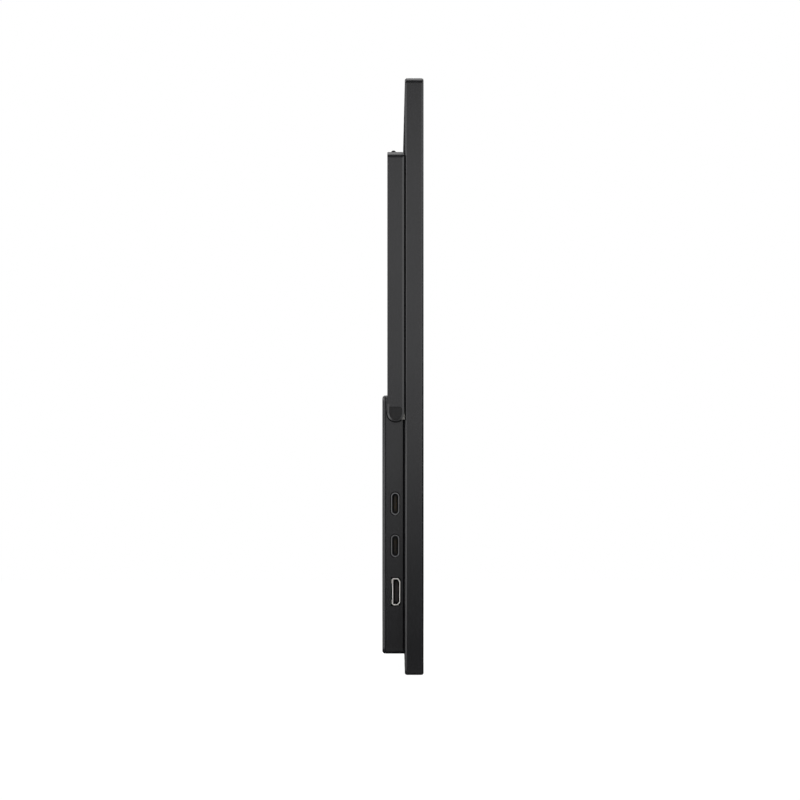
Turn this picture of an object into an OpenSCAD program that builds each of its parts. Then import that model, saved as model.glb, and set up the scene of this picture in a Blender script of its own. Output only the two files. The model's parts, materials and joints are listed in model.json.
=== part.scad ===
// Portable flat-panel monitor with a fold-out U-shaped stand, stand folded up.
// Frame: X to the viewer's right, -Y out of the screen, +Z up; origin under the
// middle of the object, on the surface that its lower edge stands on.
// Depths (names ending in _d) run from the front face of the bezel to the back.

/* [Screen] */
// Width of the lit area
active_w = 380.8; // [340:0.2:400]
// Height of the lit area
active_h = 214.2; // [200:0.2:230]
// From the lit area to the side of the unit
side_border = 6.1; // [5.8:0.1:8]
// From the lit area to the top of the unit
top_border = 7; // [6:0.1:10]
// From the lit area to the bottom of the unit
chin_h = 20.8; // [20:0.1:24]
// Black border of the glass that shows inside the bezel
black_border = 1.2; // [0.6:0.1:1.5]

/* [Display unit] */
// Depth of the side wall
edge_d = 7.65; // [7.5:0.05:8.2]
// Height of the rear cover's crown above its edge band
crown_rise = 0.66; // [0.3:0.02:0.7]
// Width of the crown's slope at the top
crown_top_slope = 27; // [15:1:30]
// Width of the crown's slope at the bottom
crown_low_slope = 19; // [12:1:24]
// Undercut of the crown's sides, which leaves a dark line along the edge band
crown_undercut = 0.6; // [0.2:0.1:0.8]
// Corner radius seen from the front
panel_corner_r = 2; // [1.4:0.1:3]
// Rounding of the front and the rear edge
panel_edge_r = 1; // [0.6:0.1:1.2]
// Thickness of the bezel's face
bezel_t = 1; // [0.9:0.05:1.2]
// Thickness of the rear cover's side wall
cover_side_t = 1.6; // [1.3:0.1:1.7]
// Thickness of the rear cover's back wall at the edge band
cover_back_t = 1.4; // [1.1:0.05:1.5]

/* [Rear housing] */
// Depth of the housing behind the edge band
housing_depth = 9.11; // [9:0.01:10.5]
// Wall of the housing
housing_t = 1.6; // [1.3:0.05:1.8]
// Corner radius seen from behind
housing_corner_r = 2.4; // [2:0.1:3.5]
// Rounding of the rear edge
housing_edge_r = 1.2; // [0.8:0.1:1.7]
// Width of the V-shaped shadow line in front of the rounding
groove_w = 0.3; // [0.1:0.05:0.5]
// Chamfer on the two sides' front edges, which leaves a shadow line along the rear cover
seam_cut = 0.8; // [0.3:0.05:0.9]
// From the hinge axis up to the top of the housing
hinge_cover_h = 7.2; // [6.5:0.1:9]
// Width of the dished ring that shows round each arm's end
dish_w = 0.4; // [0.2:0.05:0.6]

/* [Stand] */
// Height of the hinge axis above the lower edge
hinge_z = 106.2; // [100:0.2:112]
// Depth of the stand's arms
arm_depth = 6.77; // [6.4:0.01:7]
// Thickness of the stand's arms
arm_t = 2; // [1.8:0.1:2.6]
// From the side of the unit to the face of the arms
arm_inset = 0.05; // [0:0.05:1]
// Height of the crossbar
bar_h = 7.4; // [6:0.1:9]
// Depth of the crossbar
bar_depth = 5.8; // [5:0.1:5.8]
// Corner radius of the frame seen from behind
frame_corner_r = 2.8; // [2:0.1:5]
// Width of the bevel round the arms' outer faces
arm_bevel_w = 0.75; // [0.4:0.05:0.8]
// How far that bevel cuts into the arms' thickness
arm_bevel_t = 0.25; // [0.1:0.05:0.5]
// Height above the hinge axis up to which the arms' rear edge has the bevel too
arm_bevel_top = 3.65; // [3.4:0.05:6]
// Width of the shadow line in the arms' front edge
arm_rebate_w = 1.05; // [0.6:0.05:1.2]
// Depth of the relief in the rear cover's edge beside the arms
arm_relief = 0.5; // [0.2:0.05:0.6]
// Width of the rubber strips on the crossbar
foot_w = 2; // [1.6:0.1:2.4]
// How far the rubber strips stand out
foot_rise = 0.65; // [0.3:0.01:0.8]
// Length of the rubber strips
foot_l = 120; // [60:5:160]
// From the arms to the ends of the rubber strips
foot_margin = 5; // [3:1:40]
// From the middle of the arms' depth back to the rubber strips
foot_back = 0.85; // [0:0.05:1.2]

/* [Hinge] */
// Radius of the hinge shaft
shaft_r = 1.5; // [1.2:0.05:1.7]
// Radius of the bracket's barrel
barrel_r = 2.5; // [2.3:0.05:2.6]
// Length of the bracket's barrel
barrel_l = 10; // [8:0.5:14]
// Number of spring washers on each shaft
washer_count = 4; // [3:1:6]
// Thickness of the bracket's plate
bracket_t = 1; // [0.8:0.05:1.1]

/* [Left side ports] */
// Height of the upper USB-C port
usb_upper_z = 69.5; // [66:0.5:72]
// Height of the lower USB-C port
usb_lower_z = 52.4; // [50:0.2:54]
// Height of the mini HDMI port
hdmi_z = 33.8; // [33.4:0.2:36]

/* [Right side controls] */
// Height of the power button
power_z = 69.5; // [66:0.5:72]
// Height of the navigation key
nav_z = 52.4; // [50:0.2:54]
// Height of the headphone jack
jack_z = 33.8; // [32:0.2:36]
// Radius of the headphone jack's bore
jack_bore_r = 1.8; // [1.75:0.01:1.85]

/* [Hidden] */
$fn = 48;
hull_fn = 32;
eps = 0.01;

// Overall sizes
panel_w = active_w + 2 * side_border;
panel_h = active_h + top_border + chin_h;
total_d = edge_d + housing_depth;
half_w = panel_w / 2;
active_z0 = chin_h;
active_z1 = chin_h + active_h;

// Clearances
seat_gap = 0.1;      // between a part and the pocket that it drops into
arm_gap = 0.4;       // between the arms and the housing's sides
arm_front_gap = 0.3; // between the arms' outer edges and the rear cover's edge band
arm_land_gap = 0.1;  // between the arms' inner land and the edge band
bar_front_gap = 0.29; // between the crossbar and the crown
bar_low_gap = 1;     // between the folded-down crossbar and the housing
floor_gap = 0.3;     // between the folded-down crossbar and the table
run_gap = 0.05;      // running fit of a pin in its hole
head_gap = 0.12;     // round the hinge shafts' keyed heads, in the arms' outer faces

// Stand: the frame is as long as the hinge is high, so it folds down round the housing
arm_front_d = edge_d + arm_front_gap;
hinge_d = arm_front_d + arm_depth / 2;
arm_x1 = half_w - arm_inset;
arm_x0 = arm_x1 - arm_t;
stand_l = hinge_z - floor_gap;
frame_top_z = hinge_z + stand_l;
bar_front_d = edge_d + crown_rise + bar_front_gap;
relief_z = [hinge_z - arm_depth / 2 + arm_relief, frame_top_z - frame_corner_r / 2];

// Rear housing, and the rear cover's raised middle beside the arms
housing_x = arm_x0 - arm_gap;
crown_x = housing_x - 0.3;
housing_z0 = floor_gap + bar_h + bar_low_gap;
housing_z1 = hinge_z + hinge_cover_h;
housing_in_x = housing_x - housing_t;
housing_in_d = total_d - housing_t;
inner_wall_r = max(0.6, housing_corner_r - housing_t);
groove_d = total_d - housing_edge_r - groove_w / 2;

// Screen stack, front to back
cell_t = 1.1;
film_t = 0.5;
guide_t = 1.2;
reflector_t = 0.2;
tray_t = 0.4;
cell_d = bezel_t;
film_d = cell_d + cell_t;
guide_d = film_d + film_t;
reflector_d = guide_d + guide_t;
tray_d = reflector_d + reflector_t;
tray_back_d = tray_d + tray_t;
cell_side = 2.4;     // glass beyond the lit area, at the sides and the top
cell_low = 5;        // glass beyond the lit area, at the bottom
cell_x = active_w / 2 + cell_side;
cell_z0 = active_z0 - cell_low;
cell_z1 = active_z1 + cell_side;
sheet_margin = 1.6;  // from the glass's edge in to the sheets behind it
led_band = 2.6;      // height kept for the light strip under the light guide
cover_in_x = half_w - cover_side_t;
cover_in_d = edge_d - cover_back_t;
skirt_t = 1.1;
skirt_d = 4;
clip_l = 12;
clip_rise = 0.4;
clip_d = [2.6, 3.6];
clip_x = [for (i = [-2.5:2.5]) i * panel_w / 6];
clip_z = [for (i = [-1:1]) panel_h / 2 + i * panel_h / 3.2];

// Stiffening ribs
rib_t = 0.8;
rib_margin = 20;     // from the top of the unit, and half as much again from the bottom
cover_rib_x = [for (i = [-2.5:2.5]) i * panel_w / 6.5];
cover_rib_z = [for (i = [0:4]) 1.5 * rib_margin + i * (panel_h - 2.5 * rib_margin) / 4];
housing_rib_gap = 14;
housing_rib_count = 4;
housing_rib_h = 2;

// Boards in the housing
board_t = 1;
usb_size = [8.94, 3.26];
usb_wall = 0.35;
usb_d = hinge_d + 0.2;
usb_l = 7.3;
usb_sink = 0.35;     // countersink round the mouths, as deep as it is wide
board_d = usb_d + usb_size[1] / 2;
board_back_d = board_d + board_t;
main_board_w = 150;
port_margin = 7.8;   // from the lowest port or control down to its board's edge
main_board_z = [hdmi_z - port_margin, usb_upper_z + 18.5];
main_board_x = [-housing_in_x + 0.5, -housing_in_x + 0.5 + main_board_w];
board_inset = 4;
control_d = 11.2;
key_board_t = 0.8;
key_board_x = [housing_in_x - 28, housing_in_x - 0.6];
key_board_z = [jack_z - port_margin, power_z + 8.5];
housing_rib_z = main_board_z + [4, 0];
hdmi_size = [11.1, 3.5];
hdmi_wall = 0.5;
hdmi_gap = 0.3;      // dark gap round the HDMI shell
hdmi_d = hinge_d - 0.165;
hdmi_l = 8;
hdmi_tongue_in = 1.8;
hdmi_tongue_off = 0.15; // the tongue sits nearer the mouth's cut corners
usb_tongue_in = 1.6;
socket_back = 0.8;   // closed rear wall of a socket's shell
insulator_t = 1.6;

// Screws
housing_screw_r = 1;
housing_screw_top = [-135, -45, 45, 135];
housing_screw_low = [-120, -45, 45, 120];
housing_screw_z = [housing_z0 + 6.3, housing_z1 - 7];
boss_r = 2.6;
board_screw_r = 0.95;

// Rubber feet in the lower edge
feet_l = 60;
feet_w = 3.4;
feet_t = 0.8;
feet_x = panel_w / 3;

function y_at(d) = d - total_d / 2;

// Range of a given size, centred on a position.
function around(c, size) = [c - size / 2, c + size / 2];

// ---- Shared shapes ----

// Extrudes an outline drawn in (x, z) between two depths.
module plate(d0, d1) {
    translate([0, y_at(d1), 0]) rotate([90, 0, 0]) linear_extrude(d1 - d0) children();
}

// Extrudes a profile drawn in (depth, z) between two x positions.
module along_x(x0, x1) {
    translate([x0, y_at(0), 0]) rotate([90, 0, 90]) linear_extrude(x1 - x0) children();
}

// Box between two x positions, two depths and two heights.
module block(x, d, z) {
    translate([x[0], y_at(d[0]), z[0]]) cube([x[1] - x[0], d[1] - d[0], z[1] - z[0]]);
}

// Cylinder along X between two x positions.
module rod_x(x0, x1, r, d, z) {
    translate([x0, y_at(d), z]) rotate([0, 90, 0]) cylinder(r = r, h = x1 - x0);
}

// Cylinder along the depth between two depths.
module rod_d(d0, d1, r, x, z) {
    translate([x, y_at(d0), z]) rotate([-90, 0, 0]) cylinder(r = r, h = d1 - d0);
}

// Rectangle from corner to corner with round corners.
module round_rect(x, y, r) {
    translate([x[0] + r, y[0]]) square([x[1] - x[0] - 2 * r, y[1] - y[0]]);
    translate([x[0], y[0] + r]) square([x[1] - x[0], y[1] - y[0] - 2 * r]);
    for (cx = [x[0] + r, x[1] - r], cy = [y[0] + r, y[1] - r]) translate([cx, cy]) circle(r);
}

// Oblong of a given height and width with full round ends, centred, tall along y.
module oblong(height, width) {
    r = width / 2;
    translate([-r, -(height / 2 - r)]) square([width, height - width]);
    for (s = [-1, 1]) translate([0, s * (height / 2 - r)]) circle(r);
}

// Slab whose corners have radius corner, its front and rear edges rounded by front_r and rear_r
// or chamfered by front_cut and rear_cut.
module slab(half_x, z, d, corner, front_r = 0, rear_r = 0, front_cut = 0, rear_cut = 0) {
    depth = d[1] - d[0];
    fr = min(front_r, corner - 0.2);
    rr = min(rear_r, corner - 0.2);
    steps = 5;
    outline = concat(
        [[0, 0]],
        fr > 0 ? [for (i = [0:steps]) let (a = 90 * i / steps)
            [corner - fr + fr * sin(a), fr - fr * cos(a)]] : [[corner - front_cut, 0]],
        front_cut > 0 ? [[corner, front_cut]] : [],
        rear_cut > 0 ? [[corner, depth - rear_cut]] : [],
        rr > 0 ? [for (i = [0:steps]) let (a = 90 * i / steps)
            [corner - rr + rr * cos(a), depth - rr + rr * sin(a)]] : [[corner - rear_cut, depth]],
        [[0, depth]]
    );
    hull() for (x = [-1, 1] * (half_x - corner), cz = [z[0] + corner, z[1] - corner])
        translate([x, y_at(d[0]), cz]) rotate([-90, 0, 0])
            rotate_extrude($fn = hull_fn) polygon(outline);
}

module on_side(side) {
    if (side < 0) mirror([1, 0, 0]) children();
    else children();
}

// ---- Screen ----

module bezel_opening(grow) {
    o = black_border + grow;
    translate([-active_w / 2 - o, active_z0 - o]) square([active_w + 2 * o, active_h + 2 * o]);
}

// Hooks round the bezel's skirt; grown, the grooves in the rear cover that take them.
module clips(grow) {
    reach = clip_rise + grow;
    low = cover_side_t + seat_gap;
    high = panel_h - low;
    d = [clip_d[0] - grow, clip_d[1] + grow];
    for (x = clip_x) {
        block(around(x, clip_l + 2 * grow), d, [low - reach, low + eps]);
        block(around(x, clip_l + 2 * grow), d, [high - eps, high + reach]);
    }
    for (side = [-1, 1], z = clip_z) on_side(side)
        block([half_w - low - eps, half_w - low + reach], d, around(z, clip_l + 2 * grow));
}

module front_bezel() {
    lip_chamfer = 0.4;
    color("#1b1c1e") {
        difference() {
            slab(half_w, [0, panel_h], [0, bezel_t], panel_corner_r, front_r = panel_edge_r - eps);
            plate(-1, bezel_t + 1) bezel_opening(0);
            plate(-1, lip_chamfer) bezel_opening(lip_chamfer);
        }
        // skirt inside the rear cover's wall
        plate(bezel_t - eps, skirt_d) square_ring(cover_in_x - seat_gap, [cover_side_t + seat_gap,
            panel_h - cover_side_t - seat_gap], skirt_t);
        clips(0);
    }
}

// Rectangular ring, half_x to each side, between two heights.
module square_ring(half_x, z, t) {
    difference() {
        translate([-half_x, z[0]]) square([2 * half_x, z[1] - z[0]]);
        translate([-half_x + t, z[0] + t]) square([2 * (half_x - t), z[1] - z[0] - 2 * t]);
    }
}

module lcd_cell() {
    color("#0b0b0d") block([-cell_x, cell_x], [cell_d, film_d], [cell_z0, cell_z1]);
}

module sheet_block(d0, d1, low_extra) {
    block([-cell_x + sheet_margin, cell_x - sheet_margin], [d0, d1],
        [cell_z0 + sheet_margin + low_extra, cell_z1 - sheet_margin]);
}

module optical_films() {
    color("#e8eaec") sheet_block(film_d, guide_d, 0);
}

module light_guide() {
    color("#dfeaf2") sheet_block(guide_d, reflector_d, led_band);
}

module reflector_sheet() {
    color("white") sheet_block(reflector_d, tray_d, 0);
}

module led_strip() {
    led_count = 36;
    led_l = 3.6;
    strip_t = 0.4;
    z0 = cell_z0 + sheet_margin + 0.2;
    run = 2 * (cell_x - sheet_margin) - 10;
    pitch = run / led_count;
    color("#f2d98a") {
        block([-run / 2, run / 2], [guide_d, reflector_d], [z0, z0 + strip_t]);
        for (i = [0:led_count - 1])
            block([-run / 2 + (i + 0.5) * pitch - led_l / 2, -run / 2 + (i + 0.5) * pitch + led_l / 2],
                [guide_d + 0.2, reflector_d - 0.2], [z0 + strip_t, z0 + led_band - 0.3]);
    }
}

module lcd_tray() {
    wall = 0.8;
    color("silver") difference() {
        block([-cell_x, cell_x], [film_d, tray_back_d], [cell_z0, cell_z1]);
        block([-cell_x + wall, cell_x - wall], [film_d - 1, tray_d], [cell_z0 + wall, cell_z1 - wall]);
    }
}

tcon_x = 110;
tcon_z = [cover_side_t + 3.2, cell_z0 - 1.4];
tcon_d = bezel_t + 0.3;
tcon_t = 0.8;
chip_w = 12;
flex_w = 24;

module tcon_board() {
    color("#1f5f3a") {
        block([-tcon_x, tcon_x], [tcon_d, tcon_d + tcon_t], tcon_z);
        for (i = [-1:1])
            block(around(i * tcon_x / 2, chip_w), [tcon_d + tcon_t, tcon_d + tcon_t + 0.9],
                [tcon_z[0] + 2, tcon_z[1] - 2]);
        block([cable_x[0] - 1, cable_x[1] + 1], [tcon_d + tcon_t, cable_front_d], [tcon_z[0] + 1, tcon_z[0] + 4]);
    }
}

module source_flexes() {
    color("#b87333") for (i = [-1.5:1.5])
        block(around(i * tcon_x / 2, flex_w), [tcon_d + 0.2, tcon_d + 0.3], [tcon_z[1], cell_z0]);
}

// ---- Rear cover and housing shells ----

module housing_outline(grow) {
    round_rect([-housing_x - grow, housing_x + grow], [housing_z0 - grow, housing_z1 + grow],
        housing_corner_r + grow);
}

// Raised middle of the rear cover: long slopes above and below, undercut beside the stand's arms.
module crown() {
    edge_inset = panel_edge_r + 0.5;
    rise_d = edge_d + crown_rise;
    z1 = panel_h - edge_inset;
    foot_half = crown_x - crown_undercut;
    intersection() {
        along_x(-crown_x, crown_x) polygon([[cover_in_d, edge_inset], [edge_d, edge_inset],
            [rise_d, edge_inset + crown_low_slope], [rise_d, z1 - crown_top_slope], [edge_d, z1],
            [cover_in_d, z1]]);
        translate([0, y_at(0), 0]) linear_extrude(panel_h) polygon([[-foot_half, cover_in_d],
            [-foot_half, edge_d], [-crown_x, rise_d], [crown_x, rise_d], [foot_half, edge_d],
            [foot_half, cover_in_d]]);
    }
}

window_x = [-104, -66];
window_z = [housing_z0 + housing_t + 0.8, housing_z0 + 15];

module housing_screw_places() {
    for (x = housing_screw_low) translate([x, 0, housing_screw_z[0]]) children();
    for (x = housing_screw_top) translate([x, 0, housing_screw_z[1]]) children();
}

// Shallow steps beside the stand's arms; their inner ends slope, so they look dark from the side.
module arm_reliefs() {
    low_d = edge_d - arm_relief;
    for (side = [-1, 1]) on_side(side) translate([0, y_at(0), relief_z[0]])
        linear_extrude(relief_z[1] - relief_z[0]) polygon([
            [arm_x0, edge_d + 1], [arm_x0, edge_d], [arm_x0 + arm_relief, low_d], [half_w + 1, low_d],
            [half_w + 1, edge_d + 1]]);
}

module rear_cover() {
    color("#1d1e20") difference() {
        union() {
            slab(half_w, [0, panel_h], [bezel_t, edge_d], panel_corner_r, rear_r = panel_edge_r);
            crown();
        }
        block([-cover_in_x, cover_in_x], [bezel_t - 1, cover_in_d], [cover_side_t, panel_h - cover_side_t]);
        plate(edge_d, edge_d + crown_rise + 1) housing_outline(seat_gap);
        arm_reliefs();
        block(window_x, [cover_in_d - 1, edge_d + 1], window_z);
        housing_screw_places() rod_d(cover_in_d - 1, edge_d + 1, housing_screw_r + seat_gap, 0, 0);
        for (side = [-1, 1]) bracket_screw_places(side)
            rod_d(cover_in_d - 1, edge_d + 1, bracket_screw_r + run_gap, 0, 0);
        for (side = [-1, 1]) block([side * feet_x - feet_l / 2 - seat_gap, side * feet_x + feet_l / 2 + seat_gap],
            feet_d, [-1, feet_t]);
        clips(seat_gap);
    }
    color("#1d1e20") {
        for (side = [-1, 1]) bracket_screw_places(side) difference() {
            rod_d(tray_back_d + 0.3, cover_in_d + eps, boss_r, 0, 0);
            rod_d(tray_back_d, edge_d, bracket_screw_r + run_gap, 0, 0);
        }
        // ribs that the screen's tray rests against
        for (x = cover_rib_x) block(around(x, rib_t), [tray_back_d, cover_in_d + eps],
            [cover_rib_z[0] - rib_t / 2, cover_rib_z[len(cover_rib_z) - 1] + rib_t / 2]);
        for (z = cover_rib_z) block(around(0, 2 * cover_rib_x[len(cover_rib_x) - 1]),
            [tray_back_d, cover_in_d + eps], around(z, rib_t));
    }
}

feet_d = [edge_d / 2 - feet_w / 2, edge_d / 2 + feet_w / 2];

module rubber_feet() {
    color("#101010") for (side = [-1, 1])
        block([side * feet_x - feet_l / 2, side * feet_x + feet_l / 2],
            [feet_d[0] + seat_gap, feet_d[1] - seat_gap], [0, feet_t]);
}

module usb_outline(grow) {
    oblong(usb_size[0] + 2 * grow, usb_size[1] + 2 * grow);
}

// Mini HDMI mouth: square corners at the rear, cut corners at the front; grow moves every edge out.
module hdmi_outline(grow) {
    h = hdmi_size[0] / 2 + grow;
    w = hdmi_size[1] / 2 + grow;
    cut = 1.1;
    polygon([[w, -h], [w, h], [-w + cut, h], [-w, h - cut * 0.9], [-w, -h + cut * 0.9], [-w + cut, -h]]);
}

vent_count = 24;
vent_pitch = 6;
grille_count = 10;
grille_pitch = 3.2;
speaker_size = [40, 6, 14]; // length, depth, height
speaker_x = [housing_in_x - 12 - speaker_size[0], housing_in_x - 12];

// Cone round each end of a USB-C mouth and slopes between them.
module usb_countersink(z) {
    r = usb_size[1] / 2 + seat_gap;
    half = (usb_size[0] - usb_size[1]) / 2;
    wide = r + usb_sink + eps;
    for (s = [-1, 1]) translate([-housing_x - eps, y_at(usb_d), z + s * half]) rotate([0, 90, 0])
        cylinder(r1 = wide, r2 = r, h = usb_sink + eps);
    translate([0, y_at(usb_d), z - half]) linear_extrude(2 * half) polygon([
        [-housing_x - eps, -wide], [-housing_x - eps, wide], [-housing_x + usb_sink, r],
        [-housing_x + usb_sink, -r]]);
}

module rear_housing() {
    rib_run = [main_board_x[1] + housing_rib_gap, key_board_x[0] - housing_rib_gap];
    color("#1b1c1e") {
        difference() {
            union() {
                // the two halves' chamfers meet in the shadow line
                slab(housing_x, [housing_z0, housing_z1], [edge_d, groove_d], housing_corner_r,
                    rear_cut = groove_w / 2);
                slab(housing_x, [housing_z0, housing_z1], [groove_d - eps, total_d], housing_corner_r,
                    rear_r = housing_edge_r, front_cut = groove_w / 2);
            }
            // chamfer along the rear cover, on the two sides
            for (side = [-1, 1]) on_side(side) translate([housing_x, y_at(edge_d), housing_z0 - 1])
                linear_extrude(housing_z1 - housing_z0 + 2)
                    polygon([[-seam_cut - 1, -1], [1, -1], [1, seam_cut + 1]]);
            plate(edge_d - 1, housing_in_d)
                round_rect([-housing_in_x, housing_in_x], [housing_z0 + housing_t, housing_z1 - housing_t],
                    inner_wall_r);
            // slots that the hinge shafts drop into, and dishes round the arms' ends
            for (side = [-1, 1]) on_side(side) {
                translate([housing_x - dish_w, y_at(hinge_d), hinge_z]) rotate([0, 90, 0])
                    cylinder(r1 = arm_depth / 2, r2 = arm_depth / 2 + dish_w + eps, h = dish_w + eps);
                rod_x(housing_in_x - 1, housing_x + 1, collar_r + 0.3, hinge_d, hinge_z);
                block([housing_in_x - 1, housing_x + 1], [edge_d - 1, hinge_d],
                    [hinge_z - collar_r - 0.3, hinge_z + collar_r + 0.3]);
            }
            // left side: two USB-C mouths and a mini HDMI mouth
            for (z = [usb_upper_z, usb_lower_z]) {
                along_x(-housing_x - 1, -housing_in_x + 1) translate([usb_d, z]) usb_outline(seat_gap);
                usb_countersink(z);
            }
            along_x(-housing_x - 1, -housing_in_x + 1) translate([hdmi_d, hdmi_z]) hdmi_outline(hdmi_gap);
            // right side: power button, navigation key, headphone jack
            along_x(housing_in_x - 1, housing_x + 1) translate([control_d, power_z])
                oblong(power_size[0] + 0.4, power_size[1] + 0.4);
            rod_x(housing_in_x - 1, housing_x + 1, nav_hole_r, control_d, nav_z);
            translate([housing_x - 0.6, y_at(control_d), nav_z]) rotate([0, 90, 0])
                cylinder(r1 = nav_hole_r - eps, r2 = nav_hole_r + 0.65, h = 0.65);
            rod_x(housing_in_x - 1, housing_x + 1, jack_ring_r + 0.15, control_d, jack_z);
            // vents in the top wall and sound slots in the bottom wall
            for (i = [0:vent_count - 1])
                block([(i - vent_count / 2 + 0.2) * vent_pitch, (i - vent_count / 2 + 0.8) * vent_pitch],
                    [edge_d + 3, edge_d + 4.6], [housing_z1 - housing_t - 1, housing_z1 + 1]);
            for (side = [-1, 1], i = [0:grille_count - 1]) on_side(side)
                block([speaker_x[0] + 4 + i * grille_pitch, speaker_x[0] + 5.4 + i * grille_pitch],
                    [edge_d + 2.4, edge_d + 6], [housing_z0 - 1, housing_z0 + housing_t + 1]);
        }
        // bosses that take the screws through the rear cover
        housing_screw_places() difference() {
            rod_d(edge_d, housing_in_d + eps, boss_r, 0, 0);
            rod_d(edge_d - 1, edge_d + 5.5, housing_screw_r - 0.1, 0, 0);
        }
        // ribs on the back wall, beside the main board
        for (i = [0:housing_rib_count - 1])
            block(around(rib_run[0] + i * (rib_run[1] - rib_run[0]) / (housing_rib_count - 1), rib_t),
                [housing_in_d - housing_rib_h, housing_in_d + eps], housing_rib_z);
        for (z = housing_rib_z) block([rib_run[0] - rib_t / 2, rib_run[1] + rib_t / 2],
            [housing_in_d - housing_rib_h, housing_in_d + eps], around(z, rib_t));
        // low bosses under the boards
        at_places(main_screws) difference() {
            rod_d(board_back_d, housing_in_d + eps, 2.2, 0, 0);
            rod_d(board_back_d - 1, housing_in_d - 0.1, board_screw_r + run_gap, 0, 0);
        }
        at_places(key_screws) difference() {
            rod_d(key_board_d + key_board_t, housing_in_d + eps, 2.2, 0, 0);
            rod_d(key_board_d, housing_in_d - 0.1, board_screw_r + run_gap, 0, 0);
        }
    }
}

module housing_screws() {
    head_t = 1.1;
    color("dimgray") housing_screw_places() {
        rod_d(cover_in_d - head_t, cover_in_d, 1.9, 0, 0);
        rod_d(cover_in_d - eps, edge_d, housing_screw_r, 0, 0);
        rod_d(edge_d - eps, edge_d + 5, housing_screw_r - 0.15, 0, 0);
    }
}

// ---- Boards, ports and controls ----

// Two of each board's screws sit between its sockets or keys, where plugs and fingers push.
main_screws = [
    [main_board_x[0] + board_inset, (hdmi_z + usb_lower_z) / 2],
    [main_board_x[0] + board_inset, (usb_lower_z + usb_upper_z) / 2],
    [main_board_x[1] - board_inset, main_board_z[0] + board_inset],
    [main_board_x[1] - board_inset, main_board_z[1] - board_inset]
];
key_screws = [
    [key_board_x[1] - board_inset, (jack_z + nav_z) / 2],
    [key_board_x[1] - board_inset, (nav_z + power_z) / 2],
    [key_board_x[0] + board_inset, key_board_z[0] + board_inset],
    [key_board_x[0] + board_inset, key_board_z[1] - board_inset]
];

module at_places(places) {
    for (place = places) translate([place[0], 0, place[1]]) children();
}

module board_with_holes(x, z, d0, t, places) {
    difference() {
        block(x, [d0, d0 + t], z);
        at_places(places) rod_d(d0 - 1, d0 + t + 1, board_screw_r + 0.15, 0, 0);
    }
}

module main_board() {
    color("#1f5f3a") board_with_holes(main_board_x, main_board_z, board_d, board_t, main_screws);
}

chip_x = main_board_x[0] + 70;
can_z = (main_board_z[0] + main_board_z[1]) / 2;
scaler_w = 14;
memory_w = 5;
coil_w = 7;
coil_h = 3;
coil_x = main_board_x[0] + 21.5;
rail_pitch = 12;

module board_chips() {
    color("#26272b") {
        // scaler, under the shield can
        block(around(chip_x, scaler_w), [board_d - 1.2, board_d], around(can_z, scaler_w));
        block(around(chip_x - scaler_w, memory_w), [board_d - 0.9, board_d], around(can_z, memory_w));
        // power inductors and their controllers, one pair for each rail
        for (i = [0:3]) let (z = can_z + (i - 1.5) * rail_pitch) {
            block(around(coil_x, coil_w), [board_d - coil_h, board_d], around(z, coil_w));
            block(around(coil_x + coil_w + 3, memory_w), [board_d - 0.9, board_d], around(z, memory_w));
        }
        // cable connectors
        block([cable_x[0] - 1, cable_x[1] + 1], [cable_back_d - 0.6, board_d], [cable_top_z, cable_top_z + 4]);
        block([main_board_x[1] - 6, main_board_x[1] - 1], [board_d - 1.6, board_d], key_cable_z + [-1, 1]);
    }
}

can_height = 2.4;
can_w = 42;
pad_w = 24;
spreader_t = 0.6;
spreader_x = [main_board_x[0] + 25, main_board_x[1] - 40];

module shield_can() {
    wall = 0.2;
    half = can_w / 2;
    color("silver") difference() {
        block([chip_x - half, chip_x + half], [board_d - can_height, board_d], [can_z - half, can_z + half]);
        block([chip_x - half + wall, chip_x + half - wall], [board_d - can_height + wall, board_d + 1],
            [can_z - half + wall, can_z + half - wall]);
    }
}

module thermal_pad() {
    color("#6f8fb5") block(around(chip_x, pad_w), [edge_d + spreader_t, board_d - can_height],
        around(can_z, pad_w));
}

module heat_spreader() {
    color("lightgray") block(spreader_x, [edge_d, edge_d + spreader_t], around(can_z, 2 * pad_w));
}

cable_x = [-94, -76];
cable_t = 0.3;
cable_front_d = tcon_d + tcon_t + 1.4;
cable_back_d = board_d - 0.9;
cable_low_z = window_z[0] + 1.5;
cable_top_z = main_board_z[0] + 5;

// Flat cable from the panel's board back through the rear cover's window and up to the main board.
module display_cable() {
    color("#2b2b30") {
        block(cable_x, [cable_front_d, cable_front_d + cable_t], [tcon_z[0] + 1, cable_low_z + cable_t]);
        block(cable_x, [cable_front_d, cable_back_d], [cable_low_z, cable_low_z + cable_t]);
        block(cable_x, [cable_back_d - cable_t, cable_back_d], [cable_low_z, cable_top_z]);
    }
}

key_cable_z = [44, 54];
key_cable_d = board_d - 1.6;

// Flat cable from the main board to the key board.
module key_cable() {
    color("#d8d8dc") block([main_board_x[1] - 1, key_board_x[0] + 1],
        [key_cable_d, key_cable_d + cable_t], key_cable_z);
}

module usb_c_shell(z) {
    color("#3a3b3e") difference() {
        along_x(-housing_x + seat_gap, -housing_x + usb_l) translate([usb_d, z]) usb_outline(0);
        along_x(-housing_x - 1, -housing_x + usb_l - socket_back) translate([usb_d, z]) usb_outline(-usb_wall);
    }
}

// Tongue on the insulator that fills the rear of the shell.
module usb_c_tongue(z) {
    tongue = [6.69, 0.7];
    back_x = -housing_x + usb_l - socket_back;
    color("#202124") {
        block([-housing_x + usb_tongue_in, back_x - eps], around(usb_d, tongue[1]), around(z, tongue[0]));
        along_x(back_x - insulator_t, back_x) translate([usb_d, z]) usb_outline(-usb_wall - run_gap);
    }
}

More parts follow.
